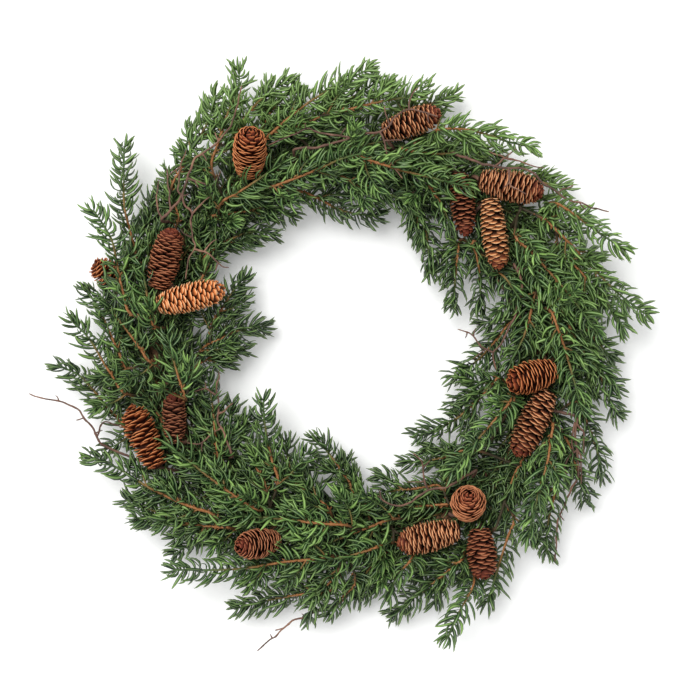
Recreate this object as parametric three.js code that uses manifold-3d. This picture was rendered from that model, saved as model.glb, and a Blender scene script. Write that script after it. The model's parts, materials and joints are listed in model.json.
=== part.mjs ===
// A pinecone wreath, lying face up: a ring of twisted vine canes bound with wire, sixteen pine
// cones on their stalks, nine bare forked twigs and thirty-three bunches of long-needled pine,
// every one of them seated on the vine ring. Millimetres, +Z up, origin on the surface that the
// wreath lies on, under the middle of its outline.
import * as THREE from 'three';
import Module from 'manifold-3d';
import { mergeVertices } from 'three/addons/utils/BufferGeometryUtils.js';

const wasm = await Module();
wasm.setup();

// ---------------------------------------------------------------- driving dimensions

// The layout is drawn on a board, x to the right and y down, in millimetres.
const BOARD_ORIGIN_X = 341;
const BOARD_ORIGIN_Y = 353.5;

// The vine ring: three canes twisted round each other, pressed flat where they lie.
const RING_CENTRE = new THREE.Vector3(11, 8.5, 12.8);
const RING_RADIUS = 197;
const CANE_COUNT = 3;
const CANE_RADIUS = 8;
const CANE_OFFSET = 6.5;
const RING_TWISTS = 5;
const RING_STATIONS = 60;
const RING_REACH = CANE_OFFSET + CANE_RADIUS;
const CANE_SECTION_ANGLES = [-35, 0, 35, 60];
const FIRST_CANE_ANGLE = 270;

// The binding wire lies in the groove between two canes.
const WIRE_RADIUS = 1.2;
const WIRE_DEPTH_RADIUS = 10.7;

// Seats: how far a stalk's end stands off the vine, and how clear unlike pieces stay.
const SEAT_GAP = 0.3;
const CLEARANCE = 0.45;
const HEEL = 6;
const FLOOR_CLEARANCE = 1;
const LONGEST_REACH = 80;

// Pine: a stem with whorls of three needles.
const STEM_RADIUS = 1.6;
const STEM_END_RADIUS = 1.1;
const ROOT_RADIUS = 0.5;
const WHORL_PITCH = 18;
const BARE_STEP = 18;
const WHORL_WIDTH = 2.2;
const WHORL_TURN = 40;
const NEEDLE_LENGTH = 23;
const NEEDLE_ANGLE = 50;
const TUFT_ANGLE = 30;
const TUFT_LENGTH = 16;
const NEEDLE_ROOT_RADIUS = 1.3;
const BASE_HEIGHTS = [32, 39, 50, 62];
const TIP_HEIGHTS = [18, 28, 42, 59];

// Cones and twigs.
const SCALES_ROUND = 6;
const SCALE_ROWS = 7;
const SCALE_LIP = 1.8;
const SCALE_ROOM = 0.8;
const STALK_RADIUS = 2;
const STALK_STEP = 11;
const TWIG_RADIUS = 2;
const TWIG_TIP_RADIUS = 0.8;
const TWIG_STEP = 15;

// ---------------------------------------------------------------- layout

// Cone: base [x, y, height], tip [x, y, height], width, and its colour of the two.
const CONES = [
  { base: [248, 172, 44], tip: [253, 134, 86], width: 34, colour: 'brown' },
  { base: [158, 287, 46], tip: [173, 228, 50], width: 32, colour: 'brown' },
  { base: [160, 305, 57], tip: [226, 289, 58], width: 30, colour: 'light' },
  { base: [118, 284, 27], tip: [92, 262, 36], width: 30, colour: 'brown' },
  { base: [385, 132, 47], tip: [441, 112, 49], width: 30, colour: 'brown' },
  { base: [482, 180, 47], tip: [544, 193, 50], width: 33, colour: 'brown' },
  { base: [460, 174, 42], tip: [467, 236, 38], width: 26, colour: 'brown' },
  { base: [490, 200, 50], tip: [500, 270, 46], width: 27, colour: 'light' },
  { base: [553, 370, 46], tip: [507, 384, 60], width: 33, colour: 'brown' },
  { base: [548, 393, 45], tip: [517, 457, 45], width: 32, colour: 'brown' },
  { base: [468, 512, 34], tip: [468, 492, 76], width: 35, colour: 'light' },
  { base: [457, 530, 51], tip: [397, 545, 46], width: 32, colour: 'brown' },
  { base: [480, 531, 41], tip: [485, 580, 44], width: 31, colour: 'brown' },
  { base: [275, 541, 41], tip: [238, 545, 76], width: 30, colour: 'brown' },
  { base: [155, 465, 46], tip: [130, 405, 46], width: 34, colour: 'brown' },
  { base: [174, 442, 42], tip: [173, 393, 42], width: 25, colour: 'brown' },
];

// Twig: its two end heights, its main line from the seat outwards, and its forks.
const TWIGS = [
  {
    name: 'twig_upper_left',
    heights: [64, 70],
    main: [[162, 220], [172, 210], [184, 195], [191, 175], [200, 157], [222, 139], [236, 115], [243, 88]],
    forks: [
      [[184, 195], [185, 205], [194, 214], [192, 222], [196, 250], [188, 268], [187, 280]],
      [[194, 214], [200, 207], [211, 198]],
      [[196, 250], [207, 253], [219, 264], [230, 268]],
      [[190, 180], [205, 185], [218, 182], [222, 172]],
      [[222, 139], [216, 133]],
    ],
  },
  {
    name: 'twig_top',
    heights: [62, 70],
    main: [[296, 150], [325, 147], [350, 139], [380, 134], [399, 115], [415, 112], [437, 119]],
    forks: [
      [[350, 139], [332, 136], [306, 131], [285, 140], [273, 146]],
      [[380, 134], [384, 142], [387, 160], [402, 180]],
      [[408, 113], [409, 103], [418, 90]],
    ],
  },
  {
    name: 'twig_upper_right',
    heights: [66, 66],
    main: [[462, 158], [480, 165], [510, 170], [535, 177], [556, 193], [590, 208], [607, 213]],
    forks: [
      [[508, 170], [508, 185], [525, 196]],
      [[495, 168], [505, 160], [530, 167], [542, 169]],
      [[556, 193], [572, 186]],
    ],
  },
  {
    name: 'twig_right',
    heights: [50, 40],
    main: [[515, 265], [521, 283], [517, 312], [507, 333], [494, 353], [497, 370]],
    forks: [
      [[518, 270], [530, 270], [536, 283], [541, 318]],
      [[494, 353], [480, 345], [470, 333], [458, 329]],
    ],
  },
  {
    name: 'twig_bottom',
    heights: [30, 24],
    main: [[345, 587], [347, 595], [338, 607], [308, 619], [283, 632], [256, 655]],
    forks: [
      [[338, 607], [318, 600], [330, 586]],
      [[283, 632], [274, 634]],
    ],
  },
  {
    name: 'twig_inner_lower',
    heights: [56, 52],
    main: [[475, 470], [458, 480], [443, 488], [428, 490], [406, 504], [397, 506], [383, 501], [370, 491]],
    forks: [[[428, 490], [423, 468], [413, 453]]],
  },
  {
    name: 'twig_lower_right',
    heights: [44, 32],
    main: [[577, 418], [576, 440], [579, 478], [567, 505], [559, 530], [557, 563]],
    forks: [
      [[576, 440], [584, 455], [583, 485]],
      [[577, 450], [568, 462], [566, 480]],
    ],
  },
  {
    name: 'twig_left',
    heights: [34, 26],
    main: [[135, 460], [118, 453], [100, 446], [88, 425], [74, 409], [56, 402], [25, 394]],
    forks: [
      [[56, 402], [52, 396]],
      [[95, 438], [100, 426], [116, 424]],
    ],
  },
  {
    name: 'twig_inner_left',
    heights: [50, 46],
    main: [[232, 455], [224, 433], [218, 400], [219, 380], [218, 371]],
    forks: [
      [[217, 398], [206, 389], [193, 392]],
      [[222, 430], [213, 432], [200, 444], [187, 443]],
      [[220, 414], [233, 403]],
    ],
  },
];

// Pine bunches, clockwise from the top. The first spray of a bunch holds the seat and the others
// fork from it. A spray is its layer, from 1 against the surface to 4 on top, and its line.
const BUNCHES = [
  [
    [4, [355, 157], [375, 164], [400, 171], [432, 179], [474, 189]],
    [3, [340, 176], [375, 188], [400, 198], [418, 208]],
  ],
  [
    [4, [420, 134], [450, 130], [478, 133], [505, 142], [537, 149]],
    [3, [400, 148], [425, 153], [455, 153], [482, 151]],
    [2, [405, 108], [430, 101], [447, 96], [459, 89]],
  ],
  [
    [3, [430, 188], [442, 205], [448, 219], [452, 234]],
    [2, [408, 198], [421, 215], [428, 240], [431, 277]],
  ],
  [
    [3.5, [535, 193], [560, 207], [595, 232], [628, 254]],
    [2, [520, 172], [545, 183], [573, 188]],
    [3, [545, 220], [582, 256], [615, 290], [652, 318]],
    [4, [515, 238], [545, 268], [572, 300], [600, 338]],
  ],
  [
    [3, [488, 255], [500, 272], [512, 288], [524, 306]],
    [2, [462, 238], [457, 262], [456, 285], [452, 311]],
    [1.5, [474, 240], [480, 268], [482, 290], [480, 314]],
  ],
  [
    [3, [540, 278], [563, 312], [583, 350], [623, 392]],
    [3, [534, 298], [528, 325], [518, 350], [507, 368]],
    [2, [512, 322], [495, 343], [472, 366], [449, 380]],
  ],
  [
    [4, [550, 312], [565, 352], [574, 385], [583, 416]],
    [2, [585, 345], [602, 376], [611, 398], [622, 419]],
    [2, [580, 320], [600, 343], [620, 362]],
  ],
  [
    [4, [516, 393], [497, 415], [478, 437], [460, 460], [447, 475]],
    [2, [500, 378], [482, 397], [452, 423], [412, 439]],
  ],
  [
    [4, [553, 420], [547, 455], [537, 495], [526, 541]],
    [1.5, [578, 402], [592, 430], [601, 455], [607, 482]],
    [2, [568, 440], [577, 465], [585, 488], [590, 508]],
  ],
  [
    [2, [523, 462], [513, 483], [507, 505], [503, 525]],
    [2, [560, 468], [555, 500], [549, 530], [549, 562]],
    [2, [470, 450], [445, 458], [420, 463], [402, 464]],
  ],
  [
    [2.5, [484, 556], [470, 590], [455, 618], [446, 642]],
    [2, [466, 556], [437, 582], [412, 602], [391, 621]],
    [2, [515, 520], [505, 550], [497, 578], [487, 610]],
  ],
  [
    [3, [450, 505], [425, 507], [400, 510], [378, 518]],
    [2, [440, 487], [410, 490], [385, 494], [360, 505]],
  ],
  [
    [4, [398, 541], [375, 547], [350, 555], [312, 562]],
    [2.5, [418, 550], [404, 567], [393, 585], [386, 603]],
    [2, [392, 548], [372, 566], [362, 585], [356, 606]],
  ],
  [
    [3, [388, 520], [360, 531], [335, 541], [300, 553]],
    [4, [345, 524], [310, 521], [270, 517], [222, 515]],
  ],
  [
    [2, [367, 507], [350, 488], [344, 472], [346, 456]],
    [2, [352, 487], [335, 463], [322, 446], [312, 434]],
  ],
  [
    [3.5, [325, 557], [285, 562], [235, 569], [167, 570]],
    [2.5, [337, 575], [322, 592], [312, 608], [306, 626]],
    [2, [330, 592], [290, 598], [255, 606], [231, 612]],
    [2, [355, 585], [340, 602], [325, 620]],
  ],
  [
    [3, [328, 508], [300, 487], [278, 473], [252, 458]],
    [1.5, [303, 493], [292, 473], [286, 455], [284, 436]],
  ],
  [
    [4, [257, 509], [225, 488], [190, 461], [157, 437]],
    [3, [278, 480], [269, 450], [264, 420], [263, 394]],
    [2.5, [265, 485], [254, 463], [246, 442], [240, 420]],
  ],
  [
    [3, [228, 528], [195, 526], [165, 523], [130, 517]],
    [3, [212, 514], [175, 500], [145, 486], [120, 470], [84, 455]],
    [2, [200, 528], [165, 517], [140, 507], [119, 499]],
    [1, [262, 548], [225, 541], [190, 540]],
  ],
  [
    [3, [217, 453], [214, 428], [211, 400], [204, 369]],
    [2, [222, 450], [228, 425], [232, 400]],
  ],
  [
    [2, [163, 430], [150, 403], [135, 387], [115, 375]],
    [2.5, [125, 430], [98, 400], [77, 376], [50, 364]],
    [3, [122, 392], [101, 360], [88, 338], [66, 317]],
  ],
  [
    [4, [186, 396], [178, 370], [172, 350], [166, 329]],
    [1.5, [192, 369], [210, 357], [228, 349], [248, 349]],
  ],
  [
    [3, [150, 362], [128, 332], [108, 307], [92, 286]],
    [2.5, [126, 368], [110, 335], [96, 306], [80, 284]],
  ],
  [
    [1.5, [203, 347], [225, 336], [248, 327], [268, 327]],
    [1.5, [212, 322], [226, 300], [236, 284], [246, 273]],
  ],
  [
    [4, [154, 325], [149, 303], [146, 282], [141, 260]],
    [4, [131, 313], [122, 285], [116, 255], [112, 238], [102, 222], [91, 206]],
  ],
  [
    [3, [195, 290], [205, 270], [213, 252], [224, 238]],
    [2, [203, 257], [225, 241], [250, 231], [277, 233]],
  ],
  [
    [2.5, [138, 262], [128, 228], [123, 200], [122, 170], [123, 139]],
    [1.5, [150, 262], [147, 235], [148, 210], [149, 190]],
  ],
  [
    [2, [178, 215], [168, 195], [168, 172], [163, 150]],
    [3, [172, 185], [190, 152], [207, 122], [217, 88]],
  ],
  [
    [4, [222, 203], [240, 192], [262, 178], [288, 160]],
    [2, [212, 215], [245, 210], [265, 206], [297, 216]],
  ],
  [
    [3, [212, 165], [228, 112], [238, 85], [238, 62]],
    [2.5, [232, 140], [247, 113], [262, 97], [278, 84], [290, 74]],
  ],
  [
    [3, [262, 142], [285, 121], [310, 101], [335, 86], [373, 65]],
    [2, [258, 140], [268, 113], [282, 97], [300, 80]],
  ],
  [
    [3.5, [275, 187], [300, 178], [328, 166], [350, 158], [378, 153]],
    [1.5, [300, 190], [320, 198], [342, 209], [385, 216]],
  ],
  [
    [2.5, [295, 128], [320, 116], [345, 100], [365, 88], [383, 74]],
    [3, [335, 113], [370, 104], [395, 98], [415, 94], [430, 80]],
  ],
];

// ---------------------------------------------------------------- materials

const vineBark = new THREE.MeshStandardMaterial({ color: 0x6b5140, roughness: 0.9, metalness: 0 });
const paintedWire = new THREE.MeshStandardMaterial({ color: 0x3c4a34, roughness: 0.5, metalness: 0.2 });
const coneBrown = new THREE.MeshStandardMaterial({ color: 0x8a4a26, roughness: 0.7, metalness: 0 });
const coneLight = new THREE.MeshStandardMaterial({ color: 0xcf8745, roughness: 0.65, metalness: 0 });
const twigBark = new THREE.MeshStandardMaterial({ color: 0x76584c, roughness: 0.85, metalness: 0 });
const pineGreen = new THREE.MeshStandardMaterial({ color: 0x3f6e36, roughness: 0.5, metalness: 0 });

// ---------------------------------------------------------------- small helpers

const rad = THREE.MathUtils.degToRad;
const lerp = THREE.MathUtils.lerp;

// Seeded draws, so that the wreath grows the same every time.
function draws(seed) {
  let state = seed;
  return () => {
    state = (state * 1664525 + 1013904223) % 4294967296;
    return state / 4294967296;
  };
}

const place = ([x, y], height) => new THREE.Vector3(x - BOARD_ORIGIN_X, BOARD_ORIGIN_Y - y, height);

// A layer's height, between whole layers too.
function layerHeight(heights, layer) {
  const below = Math.min(Math.floor(layer), heights.length - 1);
  return lerp(heights[below - 1], heights[below], layer - below);
}

// ---------------------------------------------------------------- solids and geometry

function solidFrom(vertices, triangles) {
  const geometry = new THREE.BufferGeometry();
  geometry.setAttribute('position', new THREE.Float32BufferAttribute(vertices.flatMap((v) => v.toArray()), 3));
  geometry.setIndex(triangles.flat());
  const merged = mergeVertices(geometry, 1e-3);
  return new wasm.Manifold(new wasm.Mesh({
    numProp: 3,
    vertProperties: merged.attributes.position.array,
    triVerts: new Uint32Array(merged.index.array),
  }));
}

function meshFrom(name, solid, material) {
  const { vertProperties, triVerts } = solid.getMesh();
  const geometry = new THREE.BufferGeometry();
  geometry.setAttribute('position', new THREE.Float32BufferAttribute(vertProperties, 3));
  geometry.setIndex(Array.from(triVerts));
  geometry.computeVertexNormals();
  const mesh = new THREE.Mesh(geometry, material);
  mesh.name = name;
  return mesh;
}

// Frames carried along a line without spinning: each has its point, tangent, normal and side.
function framesAlong(points) {
  const frames = points.map((point, i) => {
    const before = points[Math.max(i - 1, 0)];
    const after = points[Math.min(i + 1, points.length - 1)];
    return { point, tangent: after.clone().sub(before).normalize() };
  });
  let normal = new THREE.Vector3(0.31, 0.23, 1);
  for (const frame of frames) {
    normal = normal.clone().addScaledVector(frame.tangent, -normal.dot(frame.tangent)).normalize();
    frame.normal = normal;
    frame.side = frame.tangent.clone().cross(normal);
  }
  return frames;
}

// A closed rod along stations { point, radius, turn }, ending in a point past its last one. Each
// needle { station, side, apex } raises one of the rod's faces to a spike.
function rod(stations, sides, tip, needles = []) {
  const frames = framesAlong(stations.map((station) => station.point));
  const vertices = [];
  stations.forEach(({ radius, turn = 0 }, i) => {
    const { point, normal, side } = frames[i];
    for (let j = 0; j < sides; j++) {
      const angle = rad(turn + (360 * j) / sides);
      vertices.push(point.clone()
        .addScaledVector(normal, radius * Math.cos(angle))
        .addScaledVector(side, radius * Math.sin(angle)));
    }
  });
  const triangles = [];
  const raised = new Map(needles.map((needle) => [needle.station * sides + needle.side, needle.apex]));
  for (let i = 0; i + 1 < stations.length; i++) {
    for (let j = 0; j < sides; j++) {
      const next = (j + 1) % sides;
      const [a, b, c, d] = [i * sides + j, i * sides + next, (i + 1) * sides + next, (i + 1) * sides + j];
      const apex = raised.get(i * sides + j);
      if (apex) {
        const top = vertices.push(apex) - 1;
        triangles.push([a, b, top], [b, c, top], [c, d, top], [d, a, top]);
      } else {
        triangles.push([a, b, c], [a, c, d]);
      }
    }
  }
  for (let j = 1; j + 1 < sides; j++) triangles.push([0, j + 1, j]);
  const last = (stations.length - 1) * sides;
  const end = vertices.push(tip) - 1;
  for (let j = 0; j < sides; j++) triangles.push([last + j, last + ((j + 1) % sides), end]);
  return solidFrom(vertices, triangles);
}

// ---------------------------------------------------------------- room between pieces

// Every piece that is placed leaves tapered rods { a, b, ra, rb, node } that later ones stay clear of.
const placed = [];

// The gap between two tapered rods, at the nearest points of their centre lines.
const d1 = new THREE.Vector3();
const d2 = new THREE.Vector3();
const between = new THREE.Vector3();
const UP = new THREE.Vector3(0, 0, 1);
const clamp01 = (value) => Math.min(Math.max(value, 0), 1);

function gap(p, q) {
  d1.subVectors(p.b, p.a);
  d2.subVectors(q.b, q.a);
  between.subVectors(p.a, q.a);
  const a = Math.max(d1.dot(d1), 1e-9);
  const e = Math.max(d2.dot(d2), 1e-9);
  const b = d1.dot(d2);
  const c = d1.dot(between);
  const f = d2.dot(between);
  const denominator = a * e - b * b;
  let s = denominator > 1e-9 ? clamp01((b * f - c * e) / denominator) : 0;
  const t = clamp01((b * s + f) / e);
  s = clamp01((b * t - c) / a);
  between.addScaledVector(d1, s).addScaledVector(d2, -t);
  return between.length() - lerp(p.ra, p.rb, s) - lerp(q.ra, q.rb, t);
}

function ringGap(point, radius) {
  const x = point.x - RING_CENTRE.x;
  const y = point.y - RING_CENTRE.y;
  const fromCore = Math.hypot(Math.hypot(x, y) - RING_RADIUS, point.z - RING_CENTRE.z);
  return fromCore - RING_REACH - radius;
}

// The least gap round one rod, to the ring, the surface below and every piece but its own stems.
function room(piece, enough) {
  let least = Math.min(piece.a.z - piece.ra, piece.b.z - piece.rb) - FLOOR_CLEARANCE + CLEARANCE;
  for (const share of [0, 0.5, 1]) {
    const point = piece.a.clone().lerp(piece.b, share);
    least = Math.min(least, ringGap(point, lerp(piece.ra, piece.rb, share)));
  }
  for (const other of placed) {
    if (least < enough) return least;
    if (other.node === piece.node && (!other.spray || other.spray === piece.spray)) continue;
    const far = Math.max(Math.abs(other.a.x - piece.a.x), Math.abs(other.a.y - piece.a.y));
    if (far > LONGEST_REACH) continue;
    least = Math.min(least, gap(piece, other));
  }
  return least;
}

const rodsOf = (stations, node) => stations.slice(1).map((station, i) => ({
  a: stations[i].point, b: station.point, ra: stations[i].radius, rb: station.radius, node,
}));

// ---------------------------------------------------------------- the vine ring and its wire

// A point at a distance from the ring's core line, at one place round the ring and in its section.
function ringPoint(around, inSection, distance) {
  const out = RING_RADIUS + distance * Math.cos(rad(inSection));
  return new THREE.Vector3(
    RING_CENTRE.x + out * Math.cos(rad(around)),
    RING_CENTRE.y + out * Math.sin(rad(around)),
    RING_CENTRE.z + distance * Math.sin(rad(inSection)),
  );
}

const caneAngle = (around, cane) => FIRST_CANE_ANGLE + RING_TWISTS * around + (360 / CANE_COUNT) * cane;

// How far a cane's skin is from the core line, at an angle from the cane's own middle.
function caneSkin(angle) {
  const across = CANE_OFFSET * Math.sin(rad(angle));
  return CANE_OFFSET * Math.cos(rad(angle)) + Math.sqrt(CANE_RADIUS ** 2 - across ** 2);
}

// A closed band of rings of points, each ring joined to the next and the last to the first.
function closedBand(rings) {
  const count = rings[0].length;
  const triangles = [];
  rings.forEach((ring, i) => {
    const after = ((i + 1) % rings.length) * count;
    for (let j = 0; j < count; j++) {
      const next = (j + 1) % count;
      triangles.push([i * count + j, after + next, i * count + next]);
      triangles.push([i * count + j, after + j, after + next]);
    }
  });
  return solidFrom(rings.flat(), triangles);
}

const stationAngles = Array.from({ length: RING_STATIONS }, (_, i) => (360 / RING_STATIONS) * i);

function vineRing() {
  const rings = stationAngles.map((around) => {
    const ring = [];
    for (let cane = 0; cane < CANE_COUNT; cane++) {
      for (const angle of CANE_SECTION_ANGLES) {
        ring.push(ringPoint(around, caneAngle(around, cane) + angle, caneSkin(angle)));
      }
    }
    return ring;
  });
  const size = 4 * RING_RADIUS;
  const below = new THREE.BoxGeometry(size, size, size).toNonIndexed();
  below.deleteAttribute('normal');
  below.deleteAttribute('uv');
  below.translate(0, 0, -size / 2);
  const block = mergeVertices(below, 1e-3);
  const surface = new wasm.Manifold(new wasm.Mesh({
    numProp: 3,
    vertProperties: block.attributes.position.array,
    triVerts: new Uint32Array(block.index.array),
  }));
  return closedBand(rings).subtract(surface);
}

function bindingWire() {
  const groove = 180 / CANE_COUNT;
  const centres = stationAngles.map((around) => ({ around, angle: caneAngle(around, 0) + groove }));
  const rings = centres.map(({ around, angle }) => {
    const centre = ringPoint(around, angle, WIRE_DEPTH_RADIUS);
    const outwards = ringPoint(around, angle, WIRE_DEPTH_RADIUS + 1).sub(centre);
    const sideways = ringPoint(around, angle + 90, 1).sub(ringPoint(around, angle, 0));
    return [0, 120, 240].map((corner) => centre.clone()
      .addScaledVector(outwards, WIRE_RADIUS * Math.cos(rad(corner)))
      .addScaledVector(sideways, WIRE_RADIUS * Math.sin(rad(corner))));
  });
  centres.forEach(({ around, angle }, i) => {
    const after = centres[(i + 1) % centres.length];
    placed.push({
      a: ringPoint(around, angle, WIRE_DEPTH_RADIUS),
      b: ringPoint(after.around, after.angle, WIRE_DEPTH_RADIUS),
      ra: WIRE_RADIUS,
      rb: WIRE_RADIUS,
      node: 'binding_wire',
    });
  });
  return closedBand(rings);
}

// ---------------------------------------------------------------- seats on the ring

// The seats are the crests of the canes at the ring's stations, nearest first to a wanted point.
const seatsTaken = new Set();

function seatsNear(wanted) {
  const seats = [];
  for (const around of stationAngles) {
    for (let cane = 0; cane < CANE_COUNT; cane++) {
      const angle = caneAngle(around, cane);
      if (Math.sin(rad(angle)) < -0.1) continue;
      const point = ringPoint(around, angle, RING_REACH + SEAT_GAP + ROOT_RADIUS);
      const out = ringPoint(around, angle, RING_REACH + 1).sub(ringPoint(around, angle, RING_REACH));
      const key = around + ' ' + cane;
      if (!seatsTaken.has(key)) seats.push({ key, point, out, far: point.distanceTo(wanted) });
    }
  }
  return seats.sort((p, q) => p.far - q.far).slice(0, 24);
}

// The way from a seat to the first point of a piece: out of the vine by a heel, then across.
function leadIn(seat, first, radius) {
  const heel = seat.point.clone().addScaledVector(seat.out, HEEL + radius);
  const across = first.clone().sub(heel);
  heel.addScaledVector(across.normalize(), HEEL / 2);
  return [seat.point, heel];
}

// Stations along a smooth line through points, one each step, from a thin root to a given end.
function stationsThrough(points, step, radiusAt) {
  const curve = new THREE.CatmullRomCurve3(points, false, 'centripetal');
  const length = curve.getLength();
  const count = Math.max(Math.round(length / step), 3);
  return Array.from({ length: count + 1 }, (_, i) => {
    const share = i / count;
    return { point: curve.getPointAt(share), radius: radiusAt(share, share * length) };
  });
}

const roomAlong = (stations, node) => Math.min(...rodsOf(stations, node).slice(1)
  .map((piece) => room(piece, -Infinity)));

// Tries seats and lifts in turn and keeps the first way that is clear, or else the clearest.
function clearWay(node, wanted, build, lifts) {
  let best = null;
  for (const lift of lifts) {
    for (const seat of seatsNear(wanted)) {
      const stations = build(seat, lift);
      const clear = roomAlong(stations, node);
      if (!best || clear > best.clear) best = { stations, clear, seat, lift };
      if (clear >= CLEARANCE) break;
    }
    if (best.clear >= CLEARANCE) break;
  }
  if (best.clear < CLEARANCE) console.warn(node, 'is only', best.clear.toFixed(2), 'mm clear');
  seatsTaken.add(best.seat.key);
  return best;
}

// ---------------------------------------------------------------- cones

// A cone's half width along its length: round at the base, full at a third, narrow at the tip.
const coneProfile = (share) => Math.sin(Math.PI * Math.min(0.14 + 0.8 * share, 1)) ** 0.62;

function coneBody({ base, tip, width }) {
  const foot = place(base, base[2]);
  const head = place(tip, tip[2]);
  const axis = head.clone().sub(foot);
  const [frame] = framesAlong([foot, head]);
  const vertices = [foot.clone()];
  for (let row = 0; row < SCALE_ROWS; row++) {
    const share = (row + 0.5) / SCALE_ROWS;
    for (let j = 0; j < 2 * SCALES_ROUND; j++) {
      const onScale = (j + row) % 2 === 0;
      const angle = rad((180 * j) / SCALES_ROUND);
      const radius = (width / 2) * coneProfile(share) + (onScale ? 0 : -SCALE_LIP);
      const along = clamp01(share + (onScale ? 0.45 : -0.1) / SCALE_ROWS);
      vertices.push(foot.clone().addScaledVector(axis, along)
        .addScaledVector(frame.normal, radius * Math.cos(angle))
        .addScaledVector(frame.side, radius * Math.sin(angle)));
    }
  }
  const around = 2 * SCALES_ROUND;
  const top = vertices.push(head) - 1;
  const triangles = [];
  for (let j = 0; j < around; j++) {
    const next = (j + 1) % around;
    triangles.push([0, 1 + next, 1 + j]);
    for (let row = 0; row + 1 < SCALE_ROWS; row++) {
      const [a, b] = [1 + row * around + j, 1 + row * around + next];
      const [c, d] = [b + around, a + around];
      if ((j + row) % 2 === 0) triangles.push([a, b, c], [a, c, d]);
      else triangles.push([a, b, d], [b, c, d]);
    }
    const last = 1 + (SCALE_ROWS - 1) * around;
    triangles.push([last + j, last + next, top]);
  }
  return solidFrom(vertices, triangles);
}

function reserveCone({ base, tip, width }, node) {
  const foot = place(base, base[2]);
  const head = place(tip, tip[2]);
  const steps = [0, 0.2, 0.5, 0.8, 1];
  steps.slice(1).forEach((share, i) => placed.push({
    a: foot.clone().lerp(head, steps[i]),
    b: foot.clone().lerp(head, share),
    ra: (width / 2) * coneProfile(steps[i]) + SCALE_ROOM,
    rb: (width / 2) * coneProfile(share) + SCALE_ROOM,
    node,
  }));
}

function coneStalk({ base, tip }, node) {
  const foot = place(base, base[2]);
  const axis = place(tip, tip[2]).sub(foot).normalize();
  const inside = foot.clone().addScaledVector(axis, 6);
  const build = (seat, droop) => {
    const outside = foot.clone().addScaledVector(axis, droop - 7);
    outside.z -= 1.5 * droop;
    return stationsThrough(
      [...leadIn(seat, outside, STALK_RADIUS), outside, inside],
      STALK_STEP,
      (share, length) => Math.min(ROOT_RADIUS + length * 0.4, STALK_RADIUS),
    );
  };
  const way = clearWay(node, foot, build, [0, 2, 4, 5]);
  placed.push(...rodsOf(way.stations, node));
  return rod(way.stations, 3, inside.clone().addScaledVector(axis, 2));
}

// ---------------------------------------------------------------- twigs

const twigRadius = (share, length) => Math.min(
  ROOT_RADIUS + length * 0.3,
  lerp(TWIG_RADIUS, TWIG_TIP_RADIUS, share),
);

function pastEnd(stations, length) {
  const last = stations.at(-1).point;
  const before = stations.at(-2).point;
  return last.clone().add(last.clone().sub(before).normalize().multiplyScalar(length));
}

function twigSolid({ name, heights, main, forks }) {
  const heightAt = (share) => lerp(heights[0], heights[1], share);
  const lifts = [0, 4, -4, 8, -8, 12, 16];
  const build = (seat, lift) => {
    const points = main.map((point, i) => place(point, heightAt(i / (main.length - 1)) + lift));
    return stationsThrough([...leadIn(seat, points[0], TWIG_RADIUS), ...points], TWIG_STEP, twigRadius);
  };
  const way = clearWay(name, place(main[0], RING_CENTRE.z + RING_REACH), build, lifts);
  placed.push(...rodsOf(way.stations, name));
  let solid = rod(way.stations, 3, pastEnd(way.stations, 2));
  const grown = [...way.stations];
  for (const fork of forks) {
    const at = place(fork[0], heights[0] + way.lift);
    const flat = (point) => Math.hypot(point.x - at.x, point.y - at.y);
    const start = grown.reduce((p, q) => (flat(q.point) < flat(p.point) ? q : p)).point;
    const tries = [0, 4, -4, 8, -8, 12, -12, 18].map((rise) => {
      const points = fork.slice(1).map((point, i) => place(point, start.z + (rise * (i + 1)) / 2));
      return stationsThrough([start, ...points], TWIG_STEP, (share) => (
        share === 0 ? ROOT_RADIUS : lerp(TWIG_RADIUS * 0.7, TWIG_TIP_RADIUS, share)));
    });
    const clear = tries.map((stations) => roomAlong(stations, name));
    const chosen = tries[Math.max(clear.findIndex((value) => value >= CLEARANCE), 0)];
    if (Math.max(...clear) < CLEARANCE) console.warn(name, 'fork to', fork.at(-1), 'is', Math.max(...clear).toFixed(2));
    placed.push(...rodsOf(chosen, name));
    grown.push(...chosen.slice(1));
    solid = solid.add(rod(chosen, 3, pastEnd(chosen, 2)));
  }
  return solid;
}

// ---------------------------------------------------------------- pine sprays

// A spray's stations: a bare root, then whorls of three needles out to its tip.
function sprayStations(points, bareLength) {
  const curve = new THREE.CatmullRomCurve3(points, false, 'centripetal');
  const stemLength = curve.getLength() - TUFT_LENGTH * 0.8;
  const at = (length) => curve.getPointAt(clamp01(length / curve.getLength()));
  const stations = [{ point: at(0), radius: ROOT_RADIUS }];
  const bareSteps = Math.max(Math.round((bareLength - 5) / BARE_STEP), 1);
  for (let i = 0; i < bareSteps; i++) {
    stations.push({ point: at(lerp(5, bareLength, i / bareSteps)), radius: STEM_RADIUS });
  }
  const whorls = Math.max(Math.round((stemLength - bareLength) / WHORL_PITCH), 2);
  for (let i = 0; i <= whorls; i++) {
    const middle = lerp(bareLength, stemLength - WHORL_WIDTH, i / whorls);
    const radius = lerp(STEM_RADIUS, STEM_END_RADIUS, i / whorls);
    for (const step of [-0.5, 0.5]) {
      stations.push({ point: at(middle + step * WHORL_WIDTH), radius, turn: WHORL_TURN * i, whorl: i });
    }
  }
  return { stations, whorls };
}

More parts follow.
